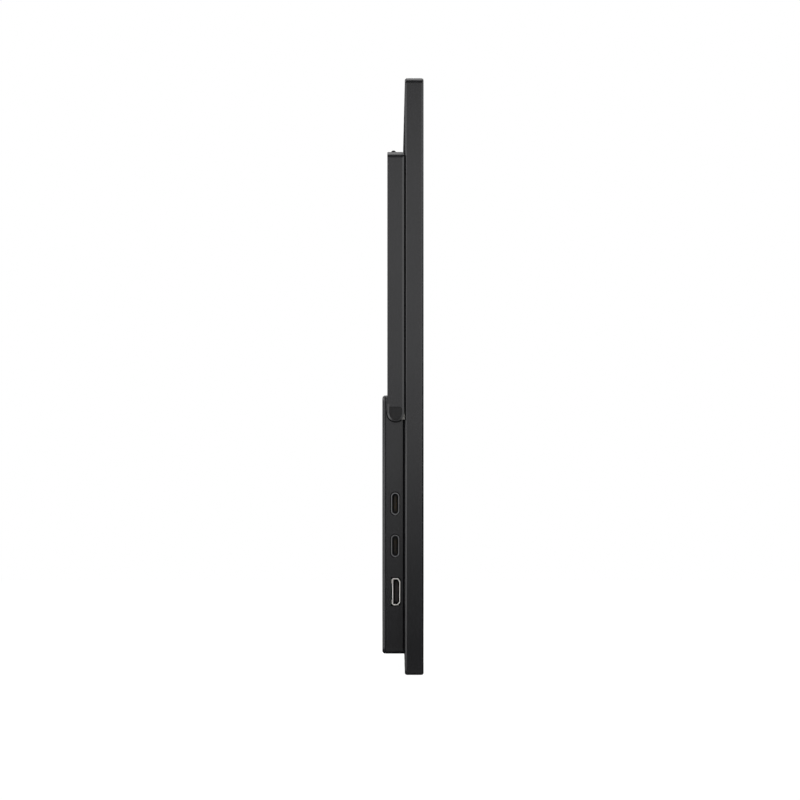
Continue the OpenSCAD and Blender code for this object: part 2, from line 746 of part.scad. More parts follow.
module mini_hdmi_shell() {
    foot = board_d - hdmi_d - hdmi_size[1] / 2;
    color("#c9cacc") {
        difference() {
            along_x(-housing_x + seat_gap, -housing_x + hdmi_l) translate([hdmi_d, hdmi_z]) hdmi_outline(0);
            along_x(-housing_x - 1, -housing_x + hdmi_l - socket_back) translate([hdmi_d, hdmi_z])
                hdmi_outline(-hdmi_wall);
        }
        // feet on the board
        if (foot > 0) for (s = [-1, 1])
            block([-housing_x + 2.6, -housing_x + 6], [board_d - foot, board_d],
                around(hdmi_z + s * 4.2, 1.6));
    }
}

module mini_hdmi_tongue() {
    tongue = [8.1, 0.9];
    back_x = -housing_x + hdmi_l - socket_back;
    color("#151618") {
        block([-housing_x + hdmi_tongue_in, back_x - eps], around(hdmi_d - hdmi_tongue_off, tongue[1]),
            around(hdmi_z, tongue[0]));
        along_x(back_x - insulator_t, back_x) translate([hdmi_d, hdmi_z]) hdmi_outline(-hdmi_wall - run_gap);
    }
}

speaker_z = [housing_z0 + housing_t + 0.3, housing_z0 + housing_t + 0.3 + speaker_size[2]];
speaker_d = [edge_d + 0.4, edge_d + 0.4 + speaker_size[1]];

module speaker(side) {
    color("#18181a") on_side(side) {
        difference() {
            block(speaker_x, speaker_d, speaker_z);
            // mouth of the enclosure, over the sound slots
            block([speaker_x[0] + 3, speaker_x[1] - 3], [speaker_d[0] + 1.2, speaker_d[1] - 1.2],
                [speaker_z[0] - 1, speaker_z[0] + 2]);
        }
    }
}

module key_board() {
    color("#1f5f3a") board_with_holes(key_board_x, key_board_z, key_board_d, key_board_t, key_screws);
}

module board_screws() {
    head_t = 1.1;
    head_r = 1.8;
    color("gainsboro") {
        at_places(main_screws) {
            rod_d(board_d - head_t, board_d, head_r, 0, 0);
            rod_d(board_d - eps, housing_in_d - 0.2, board_screw_r, 0, 0);
        }
        at_places(key_screws) {
            rod_d(key_board_d - head_t, key_board_d, head_r, 0, 0);
            rod_d(key_board_d - eps, housing_in_d - 0.2, board_screw_r, 0, 0);
        }
    }
}

jack_ring_r = 2.9;
jack_l = 13.4;

module audio_jack() {
    color("#141416") difference() {
        union() {
            block([housing_in_x - 13, housing_in_x - 0.2], [control_d - 2.4, key_board_d],
                around(jack_z, 6.2));
            rod_x(housing_in_x - 0.2 - eps, housing_x - seat_gap, jack_ring_r, control_d, jack_z);
        }
        rod_x(housing_x - seat_gap - jack_l, housing_x + 1, jack_bore_r, control_d, jack_z);
    }
}

power_size = [9, 3.2];
power_travel = 0.25;
flange_t = 0.6;
flange_x1 = housing_in_x - 0.2;
power_stem_x = flange_x1 - flange_t - 1.2;
switch_top_x = power_stem_x - power_travel - 0.05;

module power_button() {
    flange_grow = 1.6;
    color("#222326") {
        along_x(flange_x1 - eps, housing_x) translate([control_d, power_z]) oblong(power_size[0], power_size[1]);
        along_x(flange_x1 - flange_t, flange_x1) translate([control_d, power_z])
            oblong(power_size[0] + flange_grow, power_size[1] + flange_grow);
        rod_x(power_stem_x, flange_x1 - flange_t + eps, 0.9, control_d, power_z);
    }
}

// Side-push switch soldered to the key board behind the power button.
module power_switch() {
    color("silver") {
        block([switch_top_x - 4, switch_top_x - 0.8], [control_d - 1.7, key_board_d], around(power_z, 6));
        rod_x(switch_top_x - 0.8 - eps, switch_top_x, 0.8, control_d, power_z);
    }
}

nav_hole_r = 3;
nav_cap_r = 2;
nav_cap_t = 1.3;
nav_stem_r = 0.7;
nav_pivot_x = housing_x - 6.5;
nav_press = 0.3;
nav_cup = [4.4, 6.2];      // inside of the switch's cup, depth by height
nav_cup_wall = 0.6;
nav_ring_size = [3.8, 5];  // outside of the ring
nav_ring_in = [2.4, 3.4];  // inside of the ring
nav_block = [1.9, 2.8];    // pivot block
nav_half_t = 0.6;
nav_pin_r = 0.3;
nav_floor_x = nav_pivot_x - 2.7;
key_board_d = control_d + nav_cup[0] / 2 + nav_cup_wall;

module nav_block_at(size, x) {
    block(x, around(control_d, size[0]), around(nav_z, size[1]));
}

// Five-way switch: a cup on the key board whose ring and pivot block let the stem tilt both ways.
module nav_switch() {
    color("#b9babd") {
        difference() {
            nav_block_at(nav_cup + 2 * nav_cup_wall * [1, 1], [nav_floor_x - 0.8, nav_pivot_x + 1.6]);
            nav_block_at(nav_cup, [nav_floor_x, nav_pivot_x + 2]);
            rod_d(control_d - 5, control_d + 5, nav_pin_r + run_gap, nav_pivot_x, nav_z);
        }
        rod_x(nav_floor_x - eps, nav_floor_x + 0.4, 0.8, control_d, nav_z);
    }
}

module nav_ring() {
    pin_out = nav_cup[0] / 2 + nav_cup_wall - 0.1;
    color("#8f9094") difference() {
        union() {
            nav_block_at(nav_ring_size, around(nav_pivot_x, 2 * nav_half_t));
            rod_d(control_d - pin_out, control_d + pin_out, nav_pin_r, nav_pivot_x, nav_z);
        }
        nav_block_at(nav_ring_in, around(nav_pivot_x, 2));
        translate([nav_pivot_x, y_at(control_d), nav_z]) cylinder(r = nav_pin_r + run_gap, h = 8, center = true);
    }
}

module nav_pivot() {
    pin_out = nav_ring_size[1] / 2 - 0.1;
    color("#6f7074") difference() {
        union() {
            nav_block_at(nav_block, around(nav_pivot_x, 2 * nav_half_t));
            translate([nav_pivot_x, y_at(control_d), nav_z])
                cylinder(r = nav_pin_r, h = 2 * pin_out, center = true);
        }
        rod_x(nav_pivot_x - 2, nav_pivot_x + 2, nav_stem_r + run_gap, control_d, nav_z);
    }
}

module nav_cap() {
    dome = 0.35;
    color("#222326") {
        translate([housing_x - nav_cap_t, y_at(control_d), nav_z]) rotate([0, 90, 0]) {
            cylinder(r = nav_cap_r, h = nav_cap_t - dome);
            translate([0, 0, nav_cap_t - dome - eps]) cylinder(r1 = nav_cap_r, r2 = nav_cap_r - 0.5, h = dome + eps);
        }
        rod_x(nav_floor_x + 0.4 + nav_press + 0.1, housing_x - nav_cap_t + eps, nav_stem_r, control_d, nav_z);
    }
}

// ---- Hinges ----

collar_r = 2.3;
collar_x0 = housing_in_x - 1;
barrel_x1 = collar_x0 - 0.2;
barrel_x0 = barrel_x1 - barrel_l;
washer_t = 0.6;
washer_pitch = 0.75;
nut_t = 2.2;
nut_x1 = barrel_x0 - 0.15 - washer_count * washer_pitch;
shaft_x0 = nut_x1 - nut_t - 0.8;
bracket_x = [barrel_x1 - 32, barrel_x1];
bracket_z = [hinge_z - 18, housing_z1 - housing_t - 0.8];
bracket_screw_r = 1.2;
bracket_screw_z = hinge_z - 13;

module bracket_screw_places(side) {
    for (x = [bracket_x[0] + 5, (bracket_x[0] + bracket_x[1]) / 2, bracket_x[1] - 5])
        translate([side * x, 0, bracket_screw_z]) children();
}

module hinge_bracket(side) {
    gusset_t = 1.2;
    color("darkgray") difference() {
        union() {
            on_side(side) {
                block(bracket_x, [edge_d, edge_d + bracket_t], bracket_z);
                block([barrel_x0, barrel_x1], [edge_d, hinge_d], around(hinge_z, 2 * barrel_r));
                rod_x(barrel_x0, barrel_x1, barrel_r, hinge_d, hinge_z);
                // gussets from the plate up to the barrel
                for (x = [barrel_x0, barrel_x1 - gusset_t]) along_x(x, x + gusset_t)
                    polygon([[edge_d, hinge_z - 9], [edge_d, hinge_z], [hinge_d, hinge_z],
                        [hinge_d, hinge_z - barrel_r]]);
            }
        }
        on_side(side) rod_x(barrel_x0 - 1, barrel_x1 + 1, shaft_r + run_gap, hinge_d, hinge_z);
        bracket_screw_places(side) rod_d(edge_d - 1, edge_d + 3, bracket_screw_r + seat_gap, 0, 0);
    }
}

module bracket_screws() {
    head_t = 1.3;
    color("dimgray") for (side = [-1, 1]) bracket_screw_places(side) {
        rod_d(edge_d + bracket_t, edge_d + bracket_t + head_t, 2.1, 0, 0);
        rod_d(tray_back_d + 0.6, edge_d + bracket_t + eps, bracket_screw_r, 0, 0);
    }
}

// Keyed outline of the shaft's head: round below, flat on top with one round corner.
module head_outline(grow) {
    r = 2.65 + grow;
    corner = 1.3;
    circle(r);
    translate([-r + corner, 0]) square([2 * r - corner, r]);
    translate([-r, 0]) square([2 * r, r - corner]);
    translate([-r + corner, r - corner]) circle(corner);
}

head_t = 0.85;       // thickness of the head
head_pocket = 1.15;  // depth of its pocket in the arm

module hinge_shaft(side) {
    color("#2c2d30") on_side(side) {
        rod_x(shaft_x0, arm_x1 - head_pocket + eps, shaft_r, hinge_d, hinge_z);
        rod_x(collar_x0, arm_x0, collar_r, hinge_d, hinge_z);
        along_x(arm_x1 - head_pocket, arm_x1 - head_pocket + head_t)
            translate([hinge_d, hinge_z]) head_outline(-head_gap);
    }
}

module friction_washers(side) {
    color("silver") on_side(side) for (i = [0:washer_count - 1]) difference() {
        rod_x(barrel_x0 - 0.15 - i * washer_pitch - washer_t, barrel_x0 - 0.15 - i * washer_pitch,
            barrel_r, hinge_d, hinge_z);
        rod_x(shaft_x0, barrel_x0 + 1, shaft_r + run_gap, hinge_d, hinge_z);
    }
}

module hinge_nut(side) {
    color("silver") on_side(side) difference() {
        translate([nut_x1 - nut_t, y_at(hinge_d), hinge_z]) rotate([0, 90, 0])
            cylinder(r = barrel_r, h = nut_t, $fn = 6);
        rod_x(shaft_x0 - 1, barrel_x0 + 1, shaft_r + run_gap, hinge_d, hinge_z);
    }
}

// ---- Stand ----

// Outline of the frame's outside, seen from behind.
module frame_outline() {
    round_rect([-arm_x1, arm_x1], [hinge_z - 2 * arm_depth, frame_top_z], frame_corner_r);
}

foot_d = hinge_d + foot_back;
foot_r = (foot_w * foot_w / 4 + foot_rise * foot_rise) / (2 * foot_rise);
foot_drop = foot_r - foot_rise;
foot_x = arm_x0 - foot_margin - foot_l;

// One arm: a flat bar with a full round end, bevelled round its outer face. Above the hinge its
// front edge steps forward to a land that hides the gap, so a dark line shows along the rear cover.
module arm() {
    r = arm_depth / 2;
    face_x = arm_x1 - arm_bevel_t;
    land_x = arm_x1 - arm_rebate_w;
    land_d = edge_d + arm_land_gap;
    land_h = arm_front_d - land_d;
    along_x(arm_x0, face_x) {
        translate([hinge_d, hinge_z]) circle(r);
        translate([hinge_d - r, hinge_z]) square([arm_depth, stand_l]);
    }
    // bevelled layer: a cone round the end, then bars with one or both long edges cut
    translate([face_x, y_at(hinge_d), hinge_z]) rotate([0, 90, 0])
        cylinder(r1 = r, r2 = r - arm_bevel_w, h = arm_bevel_t);
    translate([0, y_at(0), hinge_z]) linear_extrude(arm_bevel_top + eps) polygon([
        [face_x - eps, arm_front_d], [face_x, arm_front_d], [arm_x1, arm_front_d + arm_bevel_w],
        [arm_x1, arm_front_d + arm_depth - arm_bevel_w], [face_x, arm_front_d + arm_depth],
        [face_x - eps, arm_front_d + arm_depth]]);
    translate([0, y_at(0), hinge_z + arm_bevel_top]) linear_extrude(stand_l - arm_bevel_top) polygon([
        [face_x - eps, arm_front_d], [face_x, arm_front_d], [arm_x1, arm_front_d + arm_bevel_w],
        [arm_x1, arm_front_d + arm_depth], [face_x - eps, arm_front_d + arm_depth]]);
    // land, with a slope that turns the bottom of the dark line away from the light
    translate([0, y_at(0), hinge_z]) linear_extrude(stand_l) polygon([
        [arm_x0, arm_front_d + eps], [arm_x0, land_d], [land_x - land_h, land_d], [land_x, arm_front_d],
        [land_x, arm_front_d + eps]]);
}

module stand_frame() {
    fillet = 3;
    bar_z0 = frame_top_z - bar_h;
    color("#1b1c1e") difference() {
        intersection() {
            union() {
                for (side = [-1, 1]) on_side(side) {
                    arm();
                    // fillet in the inner corner
                    plate(bar_front_d, bar_front_d + bar_depth) difference() {
                        translate([arm_x0 - fillet, bar_z0 - fillet]) square(fillet + eps);
                        translate([arm_x0 - fillet, bar_z0 - fillet]) circle(fillet);
                    }
                }
                block([-arm_x0 - eps, arm_x0 + eps], [bar_front_d, bar_front_d + bar_depth],
                    [bar_z0, frame_top_z]);
            }
            plate(0, total_d) frame_outline();
        }
        for (side = [-1, 1]) on_side(side) {
            rod_x(arm_x0 - 1, arm_x1 + 1, shaft_r + run_gap, hinge_d, hinge_z);
            along_x(arm_x1 - head_pocket, arm_x1 + 1) translate([hinge_d, hinge_z]) head_outline(0);
            block([foot_x - seat_gap, foot_x + foot_l + seat_gap],
                around(foot_d, 2 * (foot_r + seat_gap)), [frame_top_z - 1.8, frame_top_z + 1]);
        }
    }
}

module stand_foot_strips() {
    color("#0e0e0e") for (side = [-1, 1]) on_side(side) {
        rod_x(foot_x, foot_x + foot_l, foot_r, foot_d, frame_top_z - foot_drop);
        block([foot_x, foot_x + foot_l], around(foot_d, 1.6 * foot_r),
            [frame_top_z - 1.8, frame_top_z - foot_drop]);
    }
}

// ---- Nodes ----

front_bezel();
lcd_cell();
optical_films();
light_guide();
reflector_sheet();
led_strip();
lcd_tray();
tcon_board();
source_flexes();
rear_cover();
rubber_feet();
rear_housing();
housing_screws();
main_board();
board_chips();
shield_can();
thermal_pad();
heat_spreader();
display_cable();
key_cable();
usb_c_shell(usb_upper_z);  // usb_c_shell_upper
usb_c_tongue(usb_upper_z);  // usb_c_tongue_upper
usb_c_shell(usb_lower_z);  // usb_c_shell_lower
usb_c_tongue(usb_lower_z);  // usb_c_tongue_lower
mini_hdmi_shell();
mini_hdmi_tongue();
speaker(-1);  // speaker_left
speaker(1);  // speaker_right
key_board();
board_screws();
audio_jack();
power_switch();
power_button();
nav_switch();
nav_ring();
nav_pivot();
nav_cap();
hinge_bracket(-1);  // hinge_bracket_left
hinge_bracket(1);  // hinge_bracket_right
bracket_screws();
hinge_shaft(-1);  // hinge_shaft_left
hinge_shaft(1);  // hinge_shaft_right
friction_washers(-1);  // friction_washers_left
friction_washers(1);  // friction_washers_right
hinge_nut(-1);  // hinge_nut_left
hinge_nut(1);  // hinge_nut_right
stand_frame();
stand_foot_strips();
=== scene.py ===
"""Portable monitor with a fold-out stand: its finishes, its fine parts and the studio.

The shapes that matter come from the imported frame. This script gives each of them a
material and crisp edges, adds the parts that are too small for the frame, such as the
contacts in the sockets, and sets up the floor, the light and the camera.
"""
import json
import logging
import math
from dataclasses import dataclass, field
from enum import Enum
from typing import Any, Sequence

import bmesh
import bpy
from mathutils import Matrix, Vector


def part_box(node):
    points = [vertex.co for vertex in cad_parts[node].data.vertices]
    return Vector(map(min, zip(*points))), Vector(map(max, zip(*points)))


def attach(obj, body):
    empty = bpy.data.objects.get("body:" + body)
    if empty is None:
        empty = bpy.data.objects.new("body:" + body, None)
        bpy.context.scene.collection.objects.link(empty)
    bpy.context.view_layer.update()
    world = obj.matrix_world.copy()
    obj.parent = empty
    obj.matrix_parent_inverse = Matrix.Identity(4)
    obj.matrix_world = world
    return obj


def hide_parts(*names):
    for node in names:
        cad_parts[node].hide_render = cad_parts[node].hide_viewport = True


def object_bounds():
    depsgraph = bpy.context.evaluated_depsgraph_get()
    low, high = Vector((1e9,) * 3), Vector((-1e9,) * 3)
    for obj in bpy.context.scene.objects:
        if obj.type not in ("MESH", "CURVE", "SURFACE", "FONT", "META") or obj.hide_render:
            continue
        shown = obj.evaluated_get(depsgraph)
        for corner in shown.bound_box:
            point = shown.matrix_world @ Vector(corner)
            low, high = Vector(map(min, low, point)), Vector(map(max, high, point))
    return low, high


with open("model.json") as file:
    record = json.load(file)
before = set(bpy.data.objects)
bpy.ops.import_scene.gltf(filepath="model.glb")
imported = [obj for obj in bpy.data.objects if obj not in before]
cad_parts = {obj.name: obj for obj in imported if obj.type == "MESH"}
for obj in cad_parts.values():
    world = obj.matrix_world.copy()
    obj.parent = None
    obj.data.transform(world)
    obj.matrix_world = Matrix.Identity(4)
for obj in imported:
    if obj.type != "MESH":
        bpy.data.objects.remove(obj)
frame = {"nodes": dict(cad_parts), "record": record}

CAD_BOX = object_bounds()
MM = 0.001
# Steps across a broken edge, and the angle above which two faces have one between them.
EDGE_STEPS = 2
EDGE_ANGLE_DEG = 40
# Faces that meet at more than this keep a crisp line between them.
CREASE_DEG = 32
# Nearly all values of a noise texture lie between these.
NOISE_SPAN = (0.3, 0.7)
# A wave texture at scale 1 turns by this many radians for each unit.
WAVE_RADIANS = 20
# Draws a pattern out along X, as rolling does with the lines in sheet metal.
ROLLED = (0.1, 1, 1)
ROLLED_LONG = (0.05, 1, 1)
log = logging.getLogger("portable_monitor")

Point = Sequence[float]
Levels = tuple[tuple[float, float], ...]


class Body(Enum):
    """The rigid bodies that the pieces made here ride on."""
    DISPLAY = "display"
    NAV_KEY = "nav_key"


class Side(Enum):
    """The unit's two sides, with the sign of X on each."""
    LEFT = -1.0
    RIGHT = 1.0


# ---------------------------------------------------------------- finishes

def linear(hex_colour: str) -> tuple[float, float, float, float]:
    """Turns an sRGB hex colour into the linear colour that shaders take.

    Args:
        hex_colour: the colour as "#rrggbb".

    Returns:
        Linear red, green, blue and an alpha of 1.
    """
    channels = [int(hex_colour[i:i + 2], 16) / 255 for i in (1, 3, 5)]
    decoded = [c / 12.92 if c <= 0.04045 else ((c + 0.055) / 1.055) ** 2.4 for c in channels]
    return (decoded[0], decoded[1], decoded[2], 1.0)


def add_node(tree: bpy.types.NodeTree, kind: str, settings: dict[str, Any] | None = None,
             inputs: dict[Any, Any] | None = None) -> bpy.types.Node:
    """Adds one shader node.

    Args:
        tree: the node tree that takes the node.
        kind: the node's type without its "ShaderNode" prefix.
        settings: the node's own properties.
        inputs: its sockets by name or number, each with a value or the output linked to it.

    Returns:
        The new node.
    """
    node = tree.nodes.new("ShaderNode" + kind)
    for name, value in (settings or {}).items():
        setattr(node, name, value)
    for name, value in (inputs or {}).items():
        if isinstance(value, bpy.types.NodeSocket):
            tree.links.new(value, node.inputs[name])
        else:
            node.inputs[name].default_value = value
    return node


def place(tree: bpy.types.NodeTree, stretch: Point = (1, 1, 1)) -> bpy.types.NodeSocket:
    """Gives the position on the object in metres, stretched along its axes.

    Args:
        tree: the node tree.
        stretch: factor along X, Y and Z.

    Returns:
        The vector output.
    """
    here = add_node(tree, "TexCoord").outputs["Object"]
    return add_node(tree, "Mapping", inputs={"Vector": here, "Scale": stretch}).outputs[0]


def per_metre(size_mm: float) -> float:
    """Turns the real size of a pattern's grain into a texture scale."""
    return 1 / (size_mm * MM)


@dataclass(frozen=True)
class Finish:
    """What a surface is made of: what is the same all over it, and how its gloss drifts."""
    title: str
    colour: str
    roughness: float
    metallic: float = 0.0
    ior: float = 1.5
    specular: float = 0.5
    # width of a patch of slightly other gloss, and the change of roughness either way
    sheen_mm: float = 12.0
    sheen_spread: float = 0.04

    def material(self) -> bpy.types.Material:
        """Builds the material, or finds the one built before.

        Returns:
            The material.
        """
        known = bpy.data.materials.get(self.title)
        if known:
            return known
        material = bpy.data.materials.new(self.title)
        material.use_nodes = True
        material.diffuse_color = linear(self.colour)
        tree = material.node_tree
        shader = tree.nodes["Principled BSDF"]
        shader.inputs["Base Color"].default_value = linear(self.colour)
        shader.inputs["Roughness"].default_value = self.roughness
        shader.inputs["Metallic"].default_value = self.metallic
        shader.inputs["IOR"].default_value = self.ior
        shader.inputs["Specular IOR Level"].default_value = self.specular
        self.pattern(tree, shader)
        return material

    def pattern(self, tree: bpy.types.NodeTree, shader: bpy.types.Node) -> None:
        """Adds what varies over the surface: here a faint handling sheen.

        Args:
            tree: the material's node tree.
            shader: its Principled shader.
        """
        self.vary_roughness(tree, shader)

    def vary_roughness(self, tree: bpy.types.NodeTree, shader: bpy.types.Node) -> None:
        """Lets the gloss drift a little from place to place.

        Args:
            tree: the material's node tree.
            shader: its Principled shader.
        """
        cloud = add_node(tree, "TexNoise", inputs={
            "Vector": place(tree), "Scale": per_metre(self.sheen_mm), "Detail": 3})
        level = add_node(tree, "MapRange", inputs={
            "Value": cloud.outputs[0], "From Min": NOISE_SPAN[0], "From Max": NOISE_SPAN[1],
            "To Min": self.roughness - self.sheen_spread,
            "To Max": self.roughness + self.sheen_spread})
        tree.links.new(level.outputs[0], shader.inputs["Roughness"])

    def vary_colour(self, tree: bpy.types.NodeTree, shader: bpy.types.Node, other: str,
                    size_mm: float) -> None:
        """Mixes the colour with a near one in soft patches.

        Args:
            tree: the material's node tree.
            shader: its Principled shader.
            other: the near colour, as sRGB hex.
            size_mm: width of a patch.
        """
        cloud = add_node(tree, "TexNoise", inputs={
            "Vector": place(tree), "Scale": per_metre(size_mm), "Detail": 4})
        self.mix_colours(tree, shader, cloud.outputs[0], other)

    def mix_colours(self, tree: bpy.types.NodeTree, shader: bpy.types.Node,
                    share: bpy.types.NodeSocket, other: str) -> None:
        """Goes from the finish's own colour to another by a pattern.

        Args:
            tree: the material's node tree.
            shader: its Principled shader.
            share: the pattern, from 0 for the own colour to 1 for the other.
            other: the other colour, as sRGB hex.
        """
        mix = add_node(tree, "Mix", {"data_type": "RGBA"}, {
            0: share, 6: linear(self.colour), 7: linear(other)})
        tree.links.new(mix.outputs[2], shader.inputs["Base Color"])

    def emboss(self, tree: bpy.types.NodeTree, shader: bpy.types.Node,
               height: bpy.types.NodeSocket, depth_mm: float) -> None:
        """Raises the surface by a pattern.

        Args:
            tree: the material's node tree.
            shader: its Principled shader.
            height: the pattern, from 0 to 1.
            depth_mm: how far 1 stands above 0.
        """
        bump = add_node(tree, "Bump", inputs={
            "Height": height, "Distance": depth_mm * MM, "Strength": 1.0})
        tree.links.new(bump.outputs[0], shader.inputs["Normal"])


@dataclass(frozen=True)
class MouldedABS(Finish):
    """Black ABS moulded in a spark-eroded tool.

    The tool leaves a dull sandy grain. The real grain is about 0.1 mm wide, which no render
    of the whole unit shows, so it is drawn at grain_mm.
    """
    sheen_mm: float = 25.0
    sheen_spread: float = 0.03
    grain_mm: float = 0.35
    grain_depth_mm: float = 0.008
    drift: str = "#161618"
    drift_mm: float = 60.0

    def pattern(self, tree: bpy.types.NodeTree, shader: bpy.types.Node) -> None:
        """Adds the sandy grain and a faint drift of colour and gloss."""
        grain = add_node(tree, "TexNoise", inputs={
            "Vector": place(tree), "Scale": per_metre(self.grain_mm), "Detail": 2,
            "Roughness": 0.6})
        self.emboss(tree, shader, grain.outputs[0], self.grain_depth_mm)
        self.vary_roughness(tree, shader)
        self.vary_colour(tree, shader, self.drift, self.drift_mm)


@dataclass(frozen=True)
class AnodisedAluminium(Finish):
    """Aluminium bar, bead blasted and anodised black: finer and silkier than the plastic.

    The real blasting is about 0.05 mm wide, so it is drawn at blast_mm.
    """
    sheen_mm: float = 18.0
    sheen_spread: float = 0.02
    blast_mm: float = 0.2
    blast_depth_mm: float = 0.008
    drift: str = "#151517"
    drift_mm: float = 45.0

    def pattern(self, tree: bpy.types.NodeTree, shader: bpy.types.Node) -> None:
        """Adds the blasted grain and the dye's faint drift along the bar."""
        blast = add_node(tree, "TexNoise", inputs={
            "Vector": place(tree), "Scale": per_metre(self.blast_mm), "Detail": 1})
        self.emboss(tree, shader, blast.outputs[0], self.blast_depth_mm)
        self.vary_roughness(tree, shader)
        self.vary_colour(tree, shader, self.drift, self.drift_mm)


@dataclass(frozen=True)
class AntiGlareGlass(Finish):
    """Front glass of the screen, etched matt, with a printed border round the lit area.

    The etch blurs every reflection, and is drawn coarser than it is, at etch_mm. The lit
    area is off: a shade lighter and bluer than the border.
    """
    lit: str = "#15161a"
    centre_z: float = 0.1279
    half_width: float = 0.1904
    half_height: float = 0.1071
    etch_mm: float = 0.25
    etch_depth_mm: float = 0.004

    def pattern(self, tree: bpy.types.NodeTree, shader: bpy.types.Node) -> None:
        """Adds the lit area and the etch."""
        split = add_node(tree, "SeparateXYZ", inputs={0: place(tree)})
        across = self.inside(tree, split.outputs["X"], 0.0, self.half_width)
        upright = self.inside(tree, split.outputs["Z"], self.centre_z, self.half_height)
        lit_area = add_node(tree, "Math", {"operation": "MULTIPLY"}, {0: across, 1: upright})
        self.mix_colours(tree, shader, lit_area.outputs[0], self.lit)
        etch = add_node(tree, "TexNoise", inputs={
            "Vector": place(tree), "Scale": per_metre(self.etch_mm), "Detail": 2})
        self.emboss(tree, shader, etch.outputs[0], self.etch_depth_mm)

    @staticmethod
    def inside(tree: bpy.types.NodeTree, value: bpy.types.NodeSocket, centre: float,
               reach: float) -> bpy.types.NodeSocket:
        """Gives 1 where a coordinate lies within reach of a centre, and 0 elsewhere.

        Args:
            tree: the material's node tree.
            value: the coordinate.
            centre: middle of the range.
            reach: half of its width.

        Returns:
            The 0 or 1 output.
        """
        compare = add_node(tree, "Math", {"operation": "COMPARE"}, {0: value, 1: centre, 2: reach})
        return compare.outputs[0]


@dataclass(frozen=True)
class MouldedRubber(Finish):
    """Silicone rubber: no gloss to speak of, with cross ribs where ribs_mm is set.

    Real ribs are about 1.5 mm apart, which no render of the whole unit shows, so they are
    drawn ribs_mm apart.
    """
    ribs_mm: float = 0.0
    ribs_depth_mm: float = 0.12
    grain_mm: float = 0.5
    grain_depth_mm: float = 0.03
    drift: str = "#242424"
    drift_mm: float = 9.0

    def pattern(self, tree: bpy.types.NodeTree, shader: bpy.types.Node) -> None:
        """Adds the moulded ribs or a dusty grain."""
        if self.ribs_mm:
            scale = per_metre(self.ribs_mm) * 2 * math.pi / WAVE_RADIANS
            wave = add_node(tree, "TexWave", {"bands_direction": "X"}, {
                "Vector": place(tree), "Scale": scale, "Distortion": 0.0})
            self.emboss(tree, shader, wave.outputs["Fac"], self.ribs_depth_mm)
        else:
            grain = add_node(tree, "TexNoise", inputs={
                "Vector": place(tree), "Scale": per_metre(self.grain_mm), "Detail": 3})
            self.emboss(tree, shader, grain.outputs[0], self.grain_depth_mm)
        self.vary_colour(tree, shader, self.drift, self.drift_mm)


@dataclass(frozen=True)
class PlatedSheet(Finish):
    """Stamped sheet metal with a thin plating: fine rolling lines, drawn roll_mm apart."""
    metallic: float = 1.0
    sheen_mm: float = 5.0
    sheen_spread: float = 0.06
    lines: Point = (1, 1, 1)
    roll_mm: float = 0.4
    roll_depth_mm: float = 0.006

    def pattern(self, tree: bpy.types.NodeTree, shader: bpy.types.Node) -> None:
        """Adds the rolling lines and patchy gloss."""
        rolled = add_node(tree, "TexNoise", inputs={
            "Vector": place(tree, self.lines), "Scale": per_metre(self.roll_mm), "Detail": 3})
        self.emboss(tree, shader, rolled.outputs[0], self.roll_depth_mm)
        self.vary_roughness(tree, shader)


@dataclass(frozen=True)
class SolderMask(Finish):
    """Circuit board under green solder mask: copper tracks show as raised, paler lines."""
    copper: str = "#2f7a4c"
    track_mm: float = 1.3
    # how many tracks a cell is wide, and where in it a track lies, in widths of the cell
    tracks_across: int = 3
    repeat: float = 0.12
    track_edge: tuple[float, float] = (0.05, 0.08)
    track_depth_mm: float = 0.03

    def pattern(self, tree: bpy.types.NodeTree, shader: bpy.types.Node) -> None:
        """Adds the tracks as square rings in a cell pattern."""
        cells = add_node(tree, "TexVoronoi", {"feature": "F1", "distance": "CHEBYCHEV"}, {
            "Vector": place(tree), "Scale": per_metre(self.track_mm * self.tracks_across)})
        track = add_node(tree, "Math", {"operation": "PINGPONG"}, {
            0: cells.outputs["Distance"], 1: self.repeat})
        level = add_node(tree, "MapRange", inputs={
            "Value": track.outputs[0], "From Min": self.track_edge[0],
            "From Max": self.track_edge[1]})
        self.mix_colours(tree, shader, level.outputs[0], self.copper)
        self.emboss(tree, shader, level.outputs[0], self.track_depth_mm)


# The covers: a dead black with a sandy grain, which greys softly where the light falls on it.
HOUSING_ABS = MouldedABS("ABS spark-eroded black", "#121214", roughness=0.25)
# The keys: a shade lighter and duller than the covers, so that they stand out a little.
KEY_ABS = MouldedABS(
    "ABS key black", "#202022", roughness=0.4, grain_mm=0.25, grain_depth_mm=0.01)
# The stand: as dark as the covers, but finer, so that its sheen is more even.
STAND_BLACK = AnodisedAluminium("Aluminium blasted black anodised", "#121214", roughness=0.25)
# The screen: almost black when off, with blurred reflections.
SCREEN_GLASS = AntiGlareGlass("Anti-glare glass", "#08080a", roughness=0.28, ior=1.52)
# The stand's strips: a deep dull black, crossed by ribs.
FOOT_RUBBER = MouldedRubber(
    "Silicone ribbed black", "#161616", roughness=0.8, specular=0.3, ribs_mm=7.54)
# The feet under the lower edge: the same black with a dusty surface.
SEAL_RUBBER = MouldedRubber("Silicone plain black", "#161616", roughness=0.8, specular=0.3)
# The heat pad: a soft, dusty blue.
HEAT_PAD = MouldedRubber("Silicone heat pad", "#6f8fb5", roughness=0.75)
# The two charging sockets: smoky grey metal that shows as a thin dull line.
BLACK_NICKEL = PlatedSheet("Steel black nickel", "#6e6e70", roughness=0.45, lines=ROLLED)
# The video socket and the jack: a pale satin rim, the brightest thing on the side.
BRIGHT_NICKEL = PlatedSheet("Steel bright nickel", "#e2e0dc", roughness=0.45, lines=ROLLED)
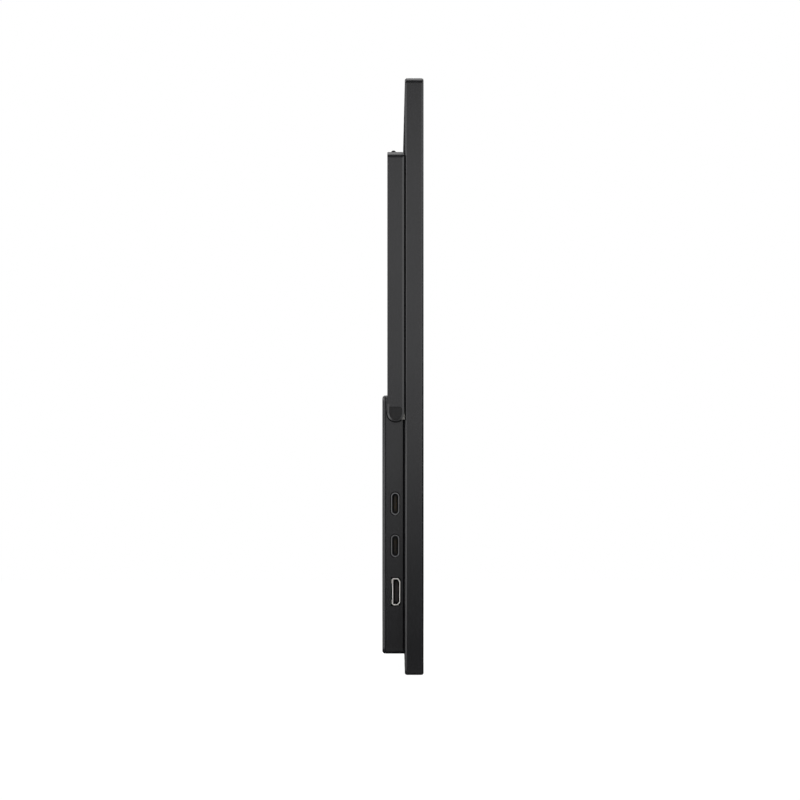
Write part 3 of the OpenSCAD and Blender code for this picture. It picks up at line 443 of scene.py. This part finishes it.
# Cans and switches: light grey with a milky gloss.
TIN_PLATE = PlatedSheet("Steel tin plated", "#c4c5c6", roughness=0.38, lines=ROLLED)
# The tray and the heat spreader: pale, with long rolling lines.
MILL_ALUMINIUM = PlatedSheet("Aluminium mill finish", "#c3c5c8", roughness=0.4, lines=ROLLED_LONG)
# Brackets and washers: grey with a wet look from the oil.
SPRING_STEEL = PlatedSheet("Spring steel oiled", "#8d8c88", roughness=0.3)
# The hinge shafts: the oxide is what shows, black with hardly a highlight.
BLACK_OXIDE = PlatedSheet(
    "Steel black oxide", "#0c0c0d", roughness=0.42, metallic=0.0, specular=0.25)
# The screws: dark metal with small bright glints.
ZINC_SCREW = PlatedSheet("Steel black zinc", "#5b5b5e", roughness=0.36)
# The contacts: clean yellow metal.
GOLD_FLASH = PlatedSheet("Copper gold flash", "#d9b25a", roughness=0.25)
# The sockets' tongues and insulators: plain dull black.
PORT_LCP = Finish("LCP moulded black", "#0e0e10", roughness=0.6, specular=0.3)
# Chips and speakers: matt, slightly grey, with a fine grain.
CHIP_EPOXY = MouldedABS(
    "Epoxy moulded black", "#1c1d20", roughness=0.55, grain_mm=0.2, grain_depth_mm=0.006)
# The boards: glossy green with paler tracks.
BOARD_MASK = SolderMask("Glass epoxy green mask", "#1b5a37", roughness=0.35)
# The screen's inner sheets: milky white film, a clear slab, a pale lamp strip.
DIFFUSER_FILM = Finish("PET diffuser film", "#e6e8ea", roughness=0.5)
ACRYLIC = Finish("Acrylic light guide", "#d5e2ea", roughness=0.12, ior=1.49)
LAMP_STRIP = Finish("Lamp strip white", "#efe1b0", roughness=0.4)
# Flexes and cables: amber film with a gloss, and satin grey.
AMBER_FILM = Finish("Polyimide amber film", "#b5702c", roughness=0.3)
FLAT_CABLE = Finish("PET flat cable grey", "#53545a", roughness=0.4)

NODE_FINISHES: dict[str, Finish] = {
    "front_bezel": HOUSING_ABS, "rear_cover": HOUSING_ABS, "rear_housing": HOUSING_ABS,
    "lcd_cell": SCREEN_GLASS, "optical_films": DIFFUSER_FILM, "light_guide": ACRYLIC,
    "reflector_sheet": DIFFUSER_FILM, "led_strip": LAMP_STRIP, "lcd_tray": MILL_ALUMINIUM,
    "tcon_board": BOARD_MASK, "source_flexes": AMBER_FILM, "rubber_feet": SEAL_RUBBER,
    "housing_screws": ZINC_SCREW, "main_board": BOARD_MASK, "board_chips": CHIP_EPOXY,
    "shield_can": TIN_PLATE, "thermal_pad": HEAT_PAD, "heat_spreader": MILL_ALUMINIUM,
    "display_cable": FLAT_CABLE, "key_cable": FLAT_CABLE,
    "usb_c_shell_upper": BLACK_NICKEL, "usb_c_shell_lower": BLACK_NICKEL,
    "usb_c_tongue_upper": PORT_LCP, "usb_c_tongue_lower": PORT_LCP,
    "mini_hdmi_shell": BRIGHT_NICKEL, "mini_hdmi_tongue": PORT_LCP,
    "speaker_left": CHIP_EPOXY, "speaker_right": CHIP_EPOXY, "key_board": BOARD_MASK,
    "board_screws": ZINC_SCREW, "audio_jack": PORT_LCP, "power_switch": TIN_PLATE,
    "power_button": KEY_ABS, "nav_switch": TIN_PLATE, "nav_ring": TIN_PLATE,
    "nav_pivot": TIN_PLATE, "nav_cap": KEY_ABS,
    "hinge_bracket_left": SPRING_STEEL, "hinge_bracket_right": SPRING_STEEL,
    "bracket_screws": ZINC_SCREW, "hinge_shaft_left": BLACK_OXIDE,
    "hinge_shaft_right": BLACK_OXIDE, "friction_washers_left": SPRING_STEEL,
    "friction_washers_right": SPRING_STEEL, "hinge_nut_left": SPRING_STEEL,
    "hinge_nut_right": SPRING_STEEL, "stand_frame": STAND_BLACK,
    "stand_foot_strips": FOOT_RUBBER,
}

# Width in mm of the broken edge that moulding, blasting or stamping leaves on each node.
EDGE_WIDTHS: dict[str, float] = {
    "front_bezel": 0.12, "rear_cover": 0.12, "rear_housing": 0.15, "stand_frame": 0.12,
    "stand_foot_strips": 0.15, "power_button": 0.2, "nav_cap": 0.15, "audio_jack": 0.12,
    "usb_c_shell_upper": 0.14, "usb_c_shell_lower": 0.14, "usb_c_tongue_upper": 0.08,
    "usb_c_tongue_lower": 0.08, "mini_hdmi_tongue": 0.08, "hinge_shaft_left": 0.1,
    "hinge_shaft_right": 0.1,
}


# ---------------------------------------------------------------- making and dressing

class Form:
    """Gathers simple solids in one mesh, in metres in the frame's own axes."""

    def __init__(self) -> None:
        """Starts empty."""
        self.mesh = bmesh.new()

    def block(self, low: Point, high: Point, edge: float = 0.0) -> None:
        """Adds a block with broken edges.

        Args:
            low: its lowest corner.
            high: its highest corner.
            edge: width of the broken edges.
        """
        size = Vector(high) - Vector(low)
        middle = (Vector(high) + Vector(low)) / 2
        matrix = Matrix.Translation(middle) @ Matrix.Diagonal((*size, 1))
        made = bmesh.ops.create_cube(self.mesh, size=1, matrix=matrix)
        if edge:
            edges = dict.fromkeys(e for v in made["verts"] for e in v.link_edges)
            bmesh.ops.bevel(self.mesh, geom=list(edges), offset=edge, segments=EDGE_STEPS,
                            affect="EDGES")

    def tube(self, outer: Sequence[Point], inner: Sequence[Point], start: float,
             end: float) -> None:
        """Adds a length of tube along X.

        Args:
            outer: its outline as (y, z) points in order round it.
            inner: its bore, with as many points.
            start: lowest x.
            end: highest x.
        """
        rings = [[self.mesh.verts.new((x, *point)) for point in outline]
                 for x, outline in ((start, outer), (end, outer), (end, inner), (start, inner))]
        self.join(rings)

    def turned_ring(self, profile: Sequence[Point], origin: Point, turn: Matrix,
                    segments: int = 48) -> None:
        """Adds a turned ring.

        Args:
            profile: (radius, height) points in order round its section.
            origin: where height 0 lies.
            turn: rotation that takes +Z to the axis.
            segments: steps round.
        """
        matrix = Matrix.Translation(Vector(origin)) @ turn.to_4x4()
        angles = [2 * math.pi * i / segments for i in range(segments)]
        rings = [[self.mesh.verts.new(matrix @ Vector((
            radius * math.cos(angle), radius * math.sin(angle), height))) for angle in angles]
            for radius, height in profile]
        self.join(rings)

    def join(self, rings: list[list[bmesh.types.BMVert]]) -> None:
        """Spans faces from each ring of points to the next, and from the last to the first.

        Args:
            rings: the rings, with as many points each.
        """
        for ring, following in zip(rings, rings[1:] + rings[:1]):
            for i in range(len(ring)):
                j = (i + 1) % len(ring)
                self.mesh.faces.new((ring[i], ring[j], following[j], following[i]))

    def piece(self, name: str, body: Body, finish: Finish, slot: str) -> bpy.types.Object:
        """Ends the mesh as a piece that rides on a body.

        Args:
            name: the piece's name.
            body: what it rides on.
            finish: its material.
            slot: the record's material slot for that finish; not used.

        Returns:
            The new object.
        """
        bmesh.ops.recalc_face_normals(self.mesh, faces=self.mesh.faces[:])
        data = bpy.data.meshes.new(name)
        self.mesh.to_mesh(data)
        self.mesh.free()
        made = bpy.data.objects.new(name, data)
        bpy.context.scene.collection.objects.link(made)
        smooth(made)
        made.data.materials.append(finish.material())
        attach(made, body.value)
        log.info("made %s: %d faces, %s", name, len(data.polygons), finish.title)
        return made


def smooth(piece: bpy.types.Object) -> None:
    """Shades a mesh smooth except across its creases."""
    piece.data.shade_smooth()
    piece.data.set_sharp_from_angle(angle=math.radians(CREASE_DEG))


def flatten_normals(piece: bpy.types.Object) -> None:
    """Keeps large flat faces flat in the light, so that their roundings start crisply.

    Args:
        piece: a mesh object.
    """
    weighted = piece.modifiers.new("flat faces", "WEIGHTED_NORMAL")
    weighted.mode = "FACE_AREA"
    weighted.weight = 100
    weighted.keep_sharp = True


def break_edges(piece: bpy.types.Object, width_mm: float) -> None:
    """Breaks a piece's sharp edges by a narrow round.

    Args:
        piece: a mesh object.
        width_mm: width of the round.
    """
    bevel = piece.modifiers.new("broken edges", "BEVEL")
    bevel.width = width_mm * MM
    bevel.segments = EDGE_STEPS
    bevel.limit_method = "ANGLE"
    bevel.angle_limit = math.radians(EDGE_ANGLE_DEG)
    bevel.harden_normals = True
    bevel.use_clamp_overlap = True


def dress_frame() -> None:
    """Gives every node of the frame its finish and its broken edges."""
    for name, finish in NODE_FINISHES.items():
        piece = frame["nodes"][name]
        piece.data.materials.clear()
        piece.data.materials.append(finish.material())
        smooth(piece)
        if name in EDGE_WIDTHS:
            break_edges(piece, EDGE_WIDTHS[name])
        flatten_normals(piece)
        log.info("dressed %s: %s", name, finish.title)
    bare = sorted(set(frame["nodes"]) - set(NODE_FINISHES))
    if bare:
        log.warning("nodes without a finish: %s", ", ".join(bare))


def mount_place(name: str) -> Point:
    """Gives the place of one of the record's mounts, in metres."""
    return next(m["pos_m"] for m in frame["record"]["mounts"] if m["name"] == name)


# ---------------------------------------------------------------- sub-assemblies

@dataclass
class SocketContacts:
    """Gold contacts on both faces of the tongue of a socket that opens to the left side."""
    # the node of the tongue and of the insulator behind it
    tongue: str
    count: int
    # how far apart the first and the last contact are
    run: float
    thickness: float
    # how far the tongue's middle stands from the insulator's, towards the back
    offset: float = 0.0
    width: float = 0.28 * MM
    # how far a contact stands out of the tongue, reaches into it and starts behind its tip
    proud: float = 0.03 * MM
    sunk: float = 0.05 * MM
    setback: float = 0.5 * MM
    # depth of the insulator that the contacts end at
    insulator: float = 1.6 * MM

    def build(self) -> bpy.types.Object:
        """Makes the contacts.

        Returns:
            All contacts of the tongue as one piece.
        """
        low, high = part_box(self.tongue)
        middle_y = (low[1] + high[1]) / 2 + self.offset
        middle_z = (low[2] + high[2]) / 2
        form = Form()
        for face in (-1, 1):
            outer = middle_y + face * (self.thickness / 2 + self.proud)
            inner = middle_y + face * (self.thickness / 2 - self.sunk)
            for index in range(self.count):
                z = middle_z + self.run * (index / (self.count - 1) - 0.5)
                form.block(
                    (low[0] + self.setback, min(inner, outer), z - self.width / 2),
                    (high[0] - self.insulator, max(inner, outer), z + self.width / 2))
        name = self.tongue.replace("tongue", "contacts")
        return form.piece(name, Body.DISPLAY, GOLD_FLASH, "port_bright")


@dataclass
class VideoSocketShell:
    """The video socket's shell, bent from thin sheet, with all four corners cut.

    It stands for the plain shell of the frame, whose sheet is thicker.
    """
    length_z: float = 10.9 * MM
    width_y: float = 3.25 * MM
    # how far the mouth stands from the socket's middle, towards the front
    forward: float = 0.07 * MM
    wall: float = 0.38 * MM
    # the cuts' sizes along Y and Z
    front_cut: tuple[float, float] = (0.95 * MM, 1.25 * MM)
    rear_cut: tuple[float, float] = (0.45 * MM, 0.45 * MM)
    # the part of an inset that a cut loses, and the least that is left of it
    cut_loss: float = 0.55
    least_cut: float = 0.05 * MM
    # from the mouth to the feet that hold the shell to the board, and their own sizes
    foot_start: float = 2.5 * MM
    foot_length: float = 3.4 * MM
    foot_width: float = 1.6 * MM
    foot_offset: float = 4.2 * MM
    edge_mm: float = 0.1

    def outline(self, centre: Point, inset: float) -> list[tuple[float, float]]:
        """Gives the mouth's outline.

        Args:
            centre: y and z of its middle.
            inset: how far every edge lies inside the outer outline.

        Returns:
            Its (y, z) points in order round it.
        """
        half_y = self.width_y / 2 - inset
        half_z = self.length_z / 2 - inset
        front_y, front_z, rear_y, rear_z = (
            max(cut - self.cut_loss * inset, self.least_cut)
            for cut in self.front_cut + self.rear_cut)
        corners = [
            (half_y, rear_z - half_z), (half_y, half_z - rear_z),
            (half_y - rear_y, half_z), (front_y - half_y, half_z),
            (-half_y, half_z - front_z), (-half_y, front_z - half_z),
            (front_y - half_y, -half_z), (half_y - rear_y, -half_z)]
        return [(centre[0] + y, centre[1] + z) for y, z in corners]

    def build(self) -> bpy.types.Object:
        """Makes the shell in place of the plain one.

        Returns:
            The shell with its feet.
        """
        low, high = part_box("mini_hdmi_shell")
        middle = mount_place("mini_hdmi")
        centre = (middle[1] - self.forward, middle[2])
        form = Form()
        form.tube(self.outline(centre, 0.0), self.outline(centre, self.wall), low[0], high[0])
        sheet_y = centre[0] + self.width_y / 2 - self.wall / 2
        foot_x = low[0] + self.foot_start
        if high[1] > sheet_y + self.wall:
            for side in (-1, 1):
                z = centre[1] + side * self.foot_offset
                form.block((foot_x, sheet_y, z - self.foot_width / 2),
                           (foot_x + self.foot_length, high[1], z + self.foot_width / 2))
        made = form.piece("mini_hdmi_mouth", Body.DISPLAY, BRIGHT_NICKEL, "port_bright")
        break_edges(made, self.edge_mm)
        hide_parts("mini_hdmi_shell")
        return made


@dataclass
class NavigationKey:
    """Grip on the five-way key: short ridges round a shallow dish."""
    ridges: int = 4
    ridge_length: float = 0.9 * MM
    ridge_width: float = 0.22 * MM
    rise: float = 0.08 * MM
    offset: float = 0.85 * MM
    edge: float = 0.04 * MM

    def build(self) -> bpy.types.Object:
        """Makes the ridges on the key's face.

        Returns:
            All ridges as one piece.
        """
        low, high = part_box("nav_cap")
        centre_y = (low[1] + high[1]) / 2
        centre_z = (low[2] + high[2]) / 2
        form = Form()
        for step in range(self.ridges):
            angle = 2 * math.pi * step / self.ridges
            y = centre_y + self.offset * math.cos(angle)
            z = centre_z + self.offset * math.sin(angle)
            upright = step % 2 == 0
            half_y = (self.ridge_width if upright else self.ridge_length) / 2
            half_z = (self.ridge_length if upright else self.ridge_width) / 2
            form.block((high[0] - self.rise, y - half_y, z - half_z),
                       (high[0] + self.rise, y + half_y, z + half_z), self.edge)
        return form.piece("nav_cap_ridges", Body.NAV_KEY, KEY_ABS, "key_plastic")


@dataclass
class JackLining:
    """Plated ring just inside the headphone jack's mouth."""
    # outer radius, and radius of the bore
    outer: float = 2.2 * MM
    bore: float = 1.82 * MM
    length: float = 0.5 * MM
    proud: float = 0.05 * MM

    def build(self) -> bpy.types.Object:
        """Makes the ring.

        Returns:
            The ring.
        """
        _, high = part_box("audio_jack")
        middle = mount_place("headphone_jack")
        origin = (high[0] + self.proud - self.length, middle[1], middle[2])
        profile = [(self.bore, 0), (self.bore, self.length),
                   (self.outer, self.length), (self.outer, 0)]
        form = Form()
        form.turned_ring(profile, origin, Matrix.Rotation(math.pi / 2, 3, "Y"))
        return form.piece("jack_ring", Body.DISPLAY, BRIGHT_NICKEL, "port_bright")


# ---------------------------------------------------------------- studio

@dataclass
class Lamp:
    """A soft rectangular white lamp aimed at a point."""
    name: str
    place: Point
    aim: Point
    width: float
    height: float
    power: float

    def build(self) -> bpy.types.Object:
        """Makes the lamp, hidden from the camera.

        Returns:
            The lamp.
        """
        data = bpy.data.lights.new(self.name, "AREA")
        data.shape = "RECTANGLE"
        data.size = self.width
        data.size_y = self.height
        data.energy = self.power
        lamp = bpy.data.objects.new(self.name, data)
        lamp.location = self.place
        towards = Vector(self.aim) - Vector(self.place)
        lamp.rotation_euler = towards.to_track_quat("-Z", "Y").to_euler()
        lamp.visible_camera = False
        bpy.context.scene.collection.objects.link(lamp)
        return lamp


@dataclass
class ReflectorCard:
    """A card near the unit that only its reflections see, as bright at each height as it says.

    The cards give the black sides the photograph's falloff from a light upper half to a dark
    foot.
    """
    name: str
    # where the card's ends stand in plan, in metres
    start: tuple[float, float]
    end: tuple[float, float]
    height: float
    # (height above the floor in metres, brightness), from the lower edge up
    levels: Levels

    def corners(self) -> list[tuple[float, float, float]]:
        """Gives the card's four corners in order round it."""
        return [(*self.start, 0.0), (*self.end, 0.0),
                (*self.end, self.height), (*self.start, self.height)]

    def build(self) -> bpy.types.Object:
        """Makes the card and hides it from everything but glossy rays.

        Returns:
            The card.
        """
        form = bmesh.new()
        form.faces.new([form.verts.new(corner) for corner in self.corners()])
        data = bpy.data.meshes.new(self.name)
        form.to_mesh(data)
        form.free()
        card = bpy.data.objects.new(self.name, data)
        bpy.context.scene.collection.objects.link(card)
        data.materials.append(self.material())
        for sees in ("camera", "diffuse", "transmission", "volume_scatter", "shadow"):
            setattr(card, "visible_" + sees, False)
        return card

    def material(self) -> bpy.types.Material:
        """Makes the card's glow, a ramp of brightness over its height.

        Returns:
            The material.
        """
        material = bpy.data.materials.new(self.name)
        material.use_nodes = True
        tree = material.node_tree
        tree.nodes.clear()
        split = add_node(tree, "SeparateXYZ", inputs={0: place(tree)})
        first, last = self.levels[0][0], self.levels[-1][0]
        along = add_node(tree, "MapRange", inputs={
            "Value": split.outputs["Z"], "From Min": first, "From Max": last})
        ramp = add_node(tree, "ValToRGB", inputs={0: along.outputs[0]})
        stops = ramp.color_ramp.elements
        brightest = max(level for _, level in self.levels) or 1.0
        for index, (height, level) in enumerate(self.levels):
            position = (height - first) / (last - first)
            # a new ramp has two stops already
            stop = stops[index] if index < 2 else stops.new(position)
            stop.position = position
            stop.color = (level / brightest,) * 3 + (1,)
        glow = add_node(tree, "Emission", inputs={
            "Color": ramp.outputs[0], "Strength": brightest})
        add_node(tree, "OutputMaterial", inputs={0: glow.outputs[0]})
        return material


@dataclass
class FlatCard(ReflectorCard):
    """A reflector card that lies flat at its height, from one corner to the other in plan."""

    def corners(self) -> list[tuple[float, float, float]]:
        """Gives the card's four corners in order round it."""
        (x0, y0), (x1, y1) = self.start, self.end
        return [(x, y, self.height) for x, y in ((x0, y0), (x1, y0), (x1, y1), (x0, y1))]


@dataclass
class Studio:
    """White floor and surroundings, soft lamps and the camera of the photograph."""
    floor_half: float = 4.0
    # what the camera sees is mostly the glow, so that the floor is just white with soft shadows
    floor_glow: float = 0.94
    faint_paper: str = "#717171"
    paper: str = "#e8e8e8"
    ambient: float = 0.45
    card_height: float = 0.5
    # Plan of the cards beside each side, from the unit's middle: how far out, how far along Y.
    side_out: float = 0.2765
    side_front: float = 0.035
    side_rear: float = 0.045
    # where the near part of the front wing ends and the far part, dark low down, begins
    knee_out: float = 0.2565
    knee_front: float = 0.062
    wing_out: float = 0.2265
    wing_rear: float = 0.075
    back_out: float = 0.16
    back_rear: float = 0.2
    front_y: float = -0.11
    # The band of 0 above the unit's top draws the fine dark line under its upper edges.
    side_levels: Levels = (
        (0.0, 0.10), (0.022, 0.17), (0.061, 0.51), (0.096, 0.81), (0.130, 1.01), (0.165, 1.09),
        (0.200, 1.04), (0.229, 0.90), (0.248, 0.84), (0.256, 0.0), (0.42, 0.0), (0.44, 1.0))
    front_wing_levels: Levels = (
        (0.0, 0.6), (0.022, 0.7), (0.061, 1.1), (0.096, 1.7), (0.130, 2.1), (0.200, 2.2),
        (0.248, 2.0), (0.256, 0.0), (0.42, 0.0), (0.44, 1.0))
    far_wing_levels: Levels = (
        (0.0, 0.0), (0.061, 0.0), (0.096, 0.08), (0.150, 0.5), (0.184, 0.85), (0.229, 1.9),
        (0.248, 1.9), (0.256, 0.0), (0.42, 0.0), (0.44, 1.0))
    # The dip at the hinge's height keeps the arm's rounded end from shining.
    rear_wing_levels: Levels = (
        (0.0, 2.5), (0.091, 3.3), (0.103, 1.3), (0.113, 1.3), (0.122, 2.6), (0.248, 2.5),
        (0.256, 0.0), (0.42, 0.0), (0.44, 1.0))
    back_levels: Levels = ((0.0, 0.4), (0.248, 0.6), (0.260, 0.0), (0.42, 0.0), (0.44, 1.0))
    front_levels: Levels = (
        (0.0, 0.0), (0.08, 0.0), (0.11, 0.08), (0.15, 0.40), (0.19, 0.75), (0.42, 1.0))
    # In the reflections the floor is dark right under the unit and a little lighter beside it.
    foot_depth: float = 0.2
    foot_reach: float = 0.1962
    foot_rise: float = 0.5 * MM
    foot_levels: Levels = ((0.0, 0.0), (1.0, 0.0))
    floor_levels: Levels = ((0.0, 0.3), (1.0, 0.3))
    # a long lens, so that the view is all but parallel
    lens_mm: float = 900.0
    sensor_mm: float = 36.0
    camera_reach: float = 100.0
    # height of the photograph's frame at the unit's left face, and the point in its middle
    frame_height: float = 0.3242
    frame_middle_y: float = 0.0012
    frame_middle_z: float = 0.11155
    lamps: list[Lamp] = field(default_factory=lambda: [
        Lamp("left_panel", (-1.6, 0.0, 0.9), (-0.19, 0.0, 0.16), 0.9, 0.7, 5.0),
        Lamp("right_panel", (1.6, 0.0, 0.9), (0.19, 0.0, 0.16), 0.9, 0.7, 5.0),
        Lamp("front_panel", (0.2, -1.5, 0.9), (0.0, 0.0, 0.12), 1.2, 0.9, 18.0),
        Lamp("rear_panel", (-0.2, 1.5, 0.9), (0.0, 0.0, 0.12), 1.2, 0.9, 18.0),
        Lamp("top_panel", (0.0, 0.0, 1.5), (0.0, 0.0, 0.0), 1.4, 1.4, 14.0),
    ])

    def build(self) -> None:
        """Makes the world, the floor, the lamps, the cards and the camera."""
        self.build_world()
        self.build_floor()
        for lamp in self.lamps:
            lamp.build()
        for card in self.cards():
            card.build()
        self.build_camera()
        bpy.context.scene.view_settings.view_transform = "Standard"
        log.info("studio: %d lamps, ambient %.2f", len(self.lamps), self.ambient)

    def cards(self) -> list[ReflectorCard]:
        """Sets out the cards in front of, under and beside the unit.

        Returns:
            The cards, not built yet.
        """
        half = self.foot_depth / 2
        set_out = [
            ReflectorCard("front_card", (-self.wing_out, self.front_y),
                          (self.wing_out, self.front_y), self.card_height, self.front_levels),
            FlatCard("foot_card", (-self.foot_reach, -half), (self.foot_reach, half),
                     self.foot_rise, self.foot_levels)]
        plan = ((self.wing_out, self.front_y), (self.knee_out, -self.knee_front),
                (self.side_out, -self.side_front), (self.side_out, self.side_rear),
                (self.wing_out, self.wing_rear), (self.back_out, self.back_rear))
        parts = (("far_wing", self.far_wing_levels), ("front_wing", self.front_wing_levels),
                 ("card", self.side_levels), ("rear_wing", self.rear_wing_levels),
                 ("back_card", self.back_levels))
        for side in Side:
            name, sign = side.name.lower(), side.value
            set_out.append(FlatCard(
                f"{name}_floor_card", (sign * self.foot_reach, -half),
                (sign * self.side_out, half), self.foot_rise, self.floor_levels))
            corners = [(sign * out, along) for out, along in plan]
            for (part, levels), start, end in zip(parts, corners, corners[1:]):
                set_out.append(
                    ReflectorCard(f"{name}_{part}", start, end, self.card_height, levels))
        return set_out

    @staticmethod
    def seen_directly(tree: bpy.types.NodeTree) -> bpy.types.NodeSocket:
        """Gives 1 for rays from the camera, off a glossy surface or through glass, else 0.

        Args:
            tree: the node tree of the world or a material.

        Returns:
            The 0 or 1 output.
        """
        rays = add_node(tree, "LightPath")
        first = add_node(tree, "Math", {"operation": "MAXIMUM"}, {
            0: rays.outputs["Is Camera Ray"], 1: rays.outputs["Is Glossy Ray"]})
        return add_node(tree, "Math", {"operation": "MAXIMUM"}, {
            0: first.outputs[0], 1: rays.outputs["Is Transmission Ray"]}).outputs[0]

    def build_world(self) -> None:
        """Makes surroundings that look white and light the unit at a lower, even level."""
        world = bpy.data.worlds.new("studio")
        bpy.context.scene.world = world
        world.use_nodes = True
        tree = world.node_tree
        tree.nodes.clear()
        dim = add_node(tree, "Background", inputs={
            "Color": (1, 1, 1, 1), "Strength": self.ambient})
        white = add_node(tree, "Background", inputs={"Color": (1, 1, 1, 1), "Strength": 1.0})
        mix = add_node(tree, "MixShader", inputs={
            0: self.seen_directly(tree), 1: dim.outputs[0], 2: white.outputs[0]})
        add_node(tree, "OutputWorld", inputs={0: mix.outputs[0]})

    def build_floor(self) -> None:
        """Makes a pale floor that reads white in the light and keeps the unit's shadow."""
        form = bmesh.new()
        bmesh.ops.create_grid(form, x_segments=1, y_segments=1, size=self.floor_half)
        data = bpy.data.meshes.new("floor")
        form.to_mesh(data)
        form.free()
        floor = bpy.data.objects.new("floor", data)
        bpy.context.scene.collection.objects.link(floor)
        material = bpy.data.materials.new("Paper sweep white")
        material.use_nodes = True
        tree = material.node_tree
        tree.nodes.clear()
        paper = add_node(tree, "BsdfDiffuse", inputs={"Color": linear(self.paper)})
        faint = add_node(tree, "BsdfDiffuse", inputs={"Color": linear(self.faint_paper)})
        glow = add_node(tree, "Emission", inputs={
            "Color": (1, 1, 1, 1), "Strength": self.floor_glow})
        lifted = add_node(tree, "AddShader", inputs={0: faint.outputs[0], 1: glow.outputs[0]})
        mix = add_node(tree, "MixShader", inputs={
            0: self.seen_directly(tree), 1: paper.outputs[0], 2: lifted.outputs[0]})
        add_node(tree, "OutputMaterial", inputs={0: mix.outputs[0]})
        data.materials.append(material)

    def build_camera(self) -> None:
        """Makes the camera, square on to the left face."""
        left_face = CAD_BOX[0][0]
        distance = self.frame_height * self.lens_mm / self.sensor_mm
        data = bpy.data.cameras.new("camera")
        data.lens = self.lens_mm
        data.sensor_width = self.sensor_mm
        data.clip_end = self.camera_reach
        camera = bpy.data.objects.new("camera", data)
        camera.location = (left_face - distance, self.frame_middle_y, self.frame_middle_z)
        camera.rotation_euler = (math.pi / 2, 0, -math.pi / 2)
        bpy.context.scene.collection.objects.link(camera)
        bpy.context.scene.camera = camera


def main() -> None:
    """Builds the whole scene."""
    logging.basicConfig(level=logging.INFO, format="%(name)s: %(message)s")
    Studio().build()
    dress_frame()
    for tongue in ("usb_c_tongue_upper", "usb_c_tongue_lower"):
        SocketContacts(tongue, count=12, run=5.5 * MM, thickness=0.7 * MM).build()
    SocketContacts("mini_hdmi_tongue", count=10, run=7.2 * MM, thickness=0.9 * MM,
                   offset=-0.15 * MM).build()
    VideoSocketShell().build()
    NavigationKey().build()
    JackLining().build()


if __name__ == "__main__":
    main()
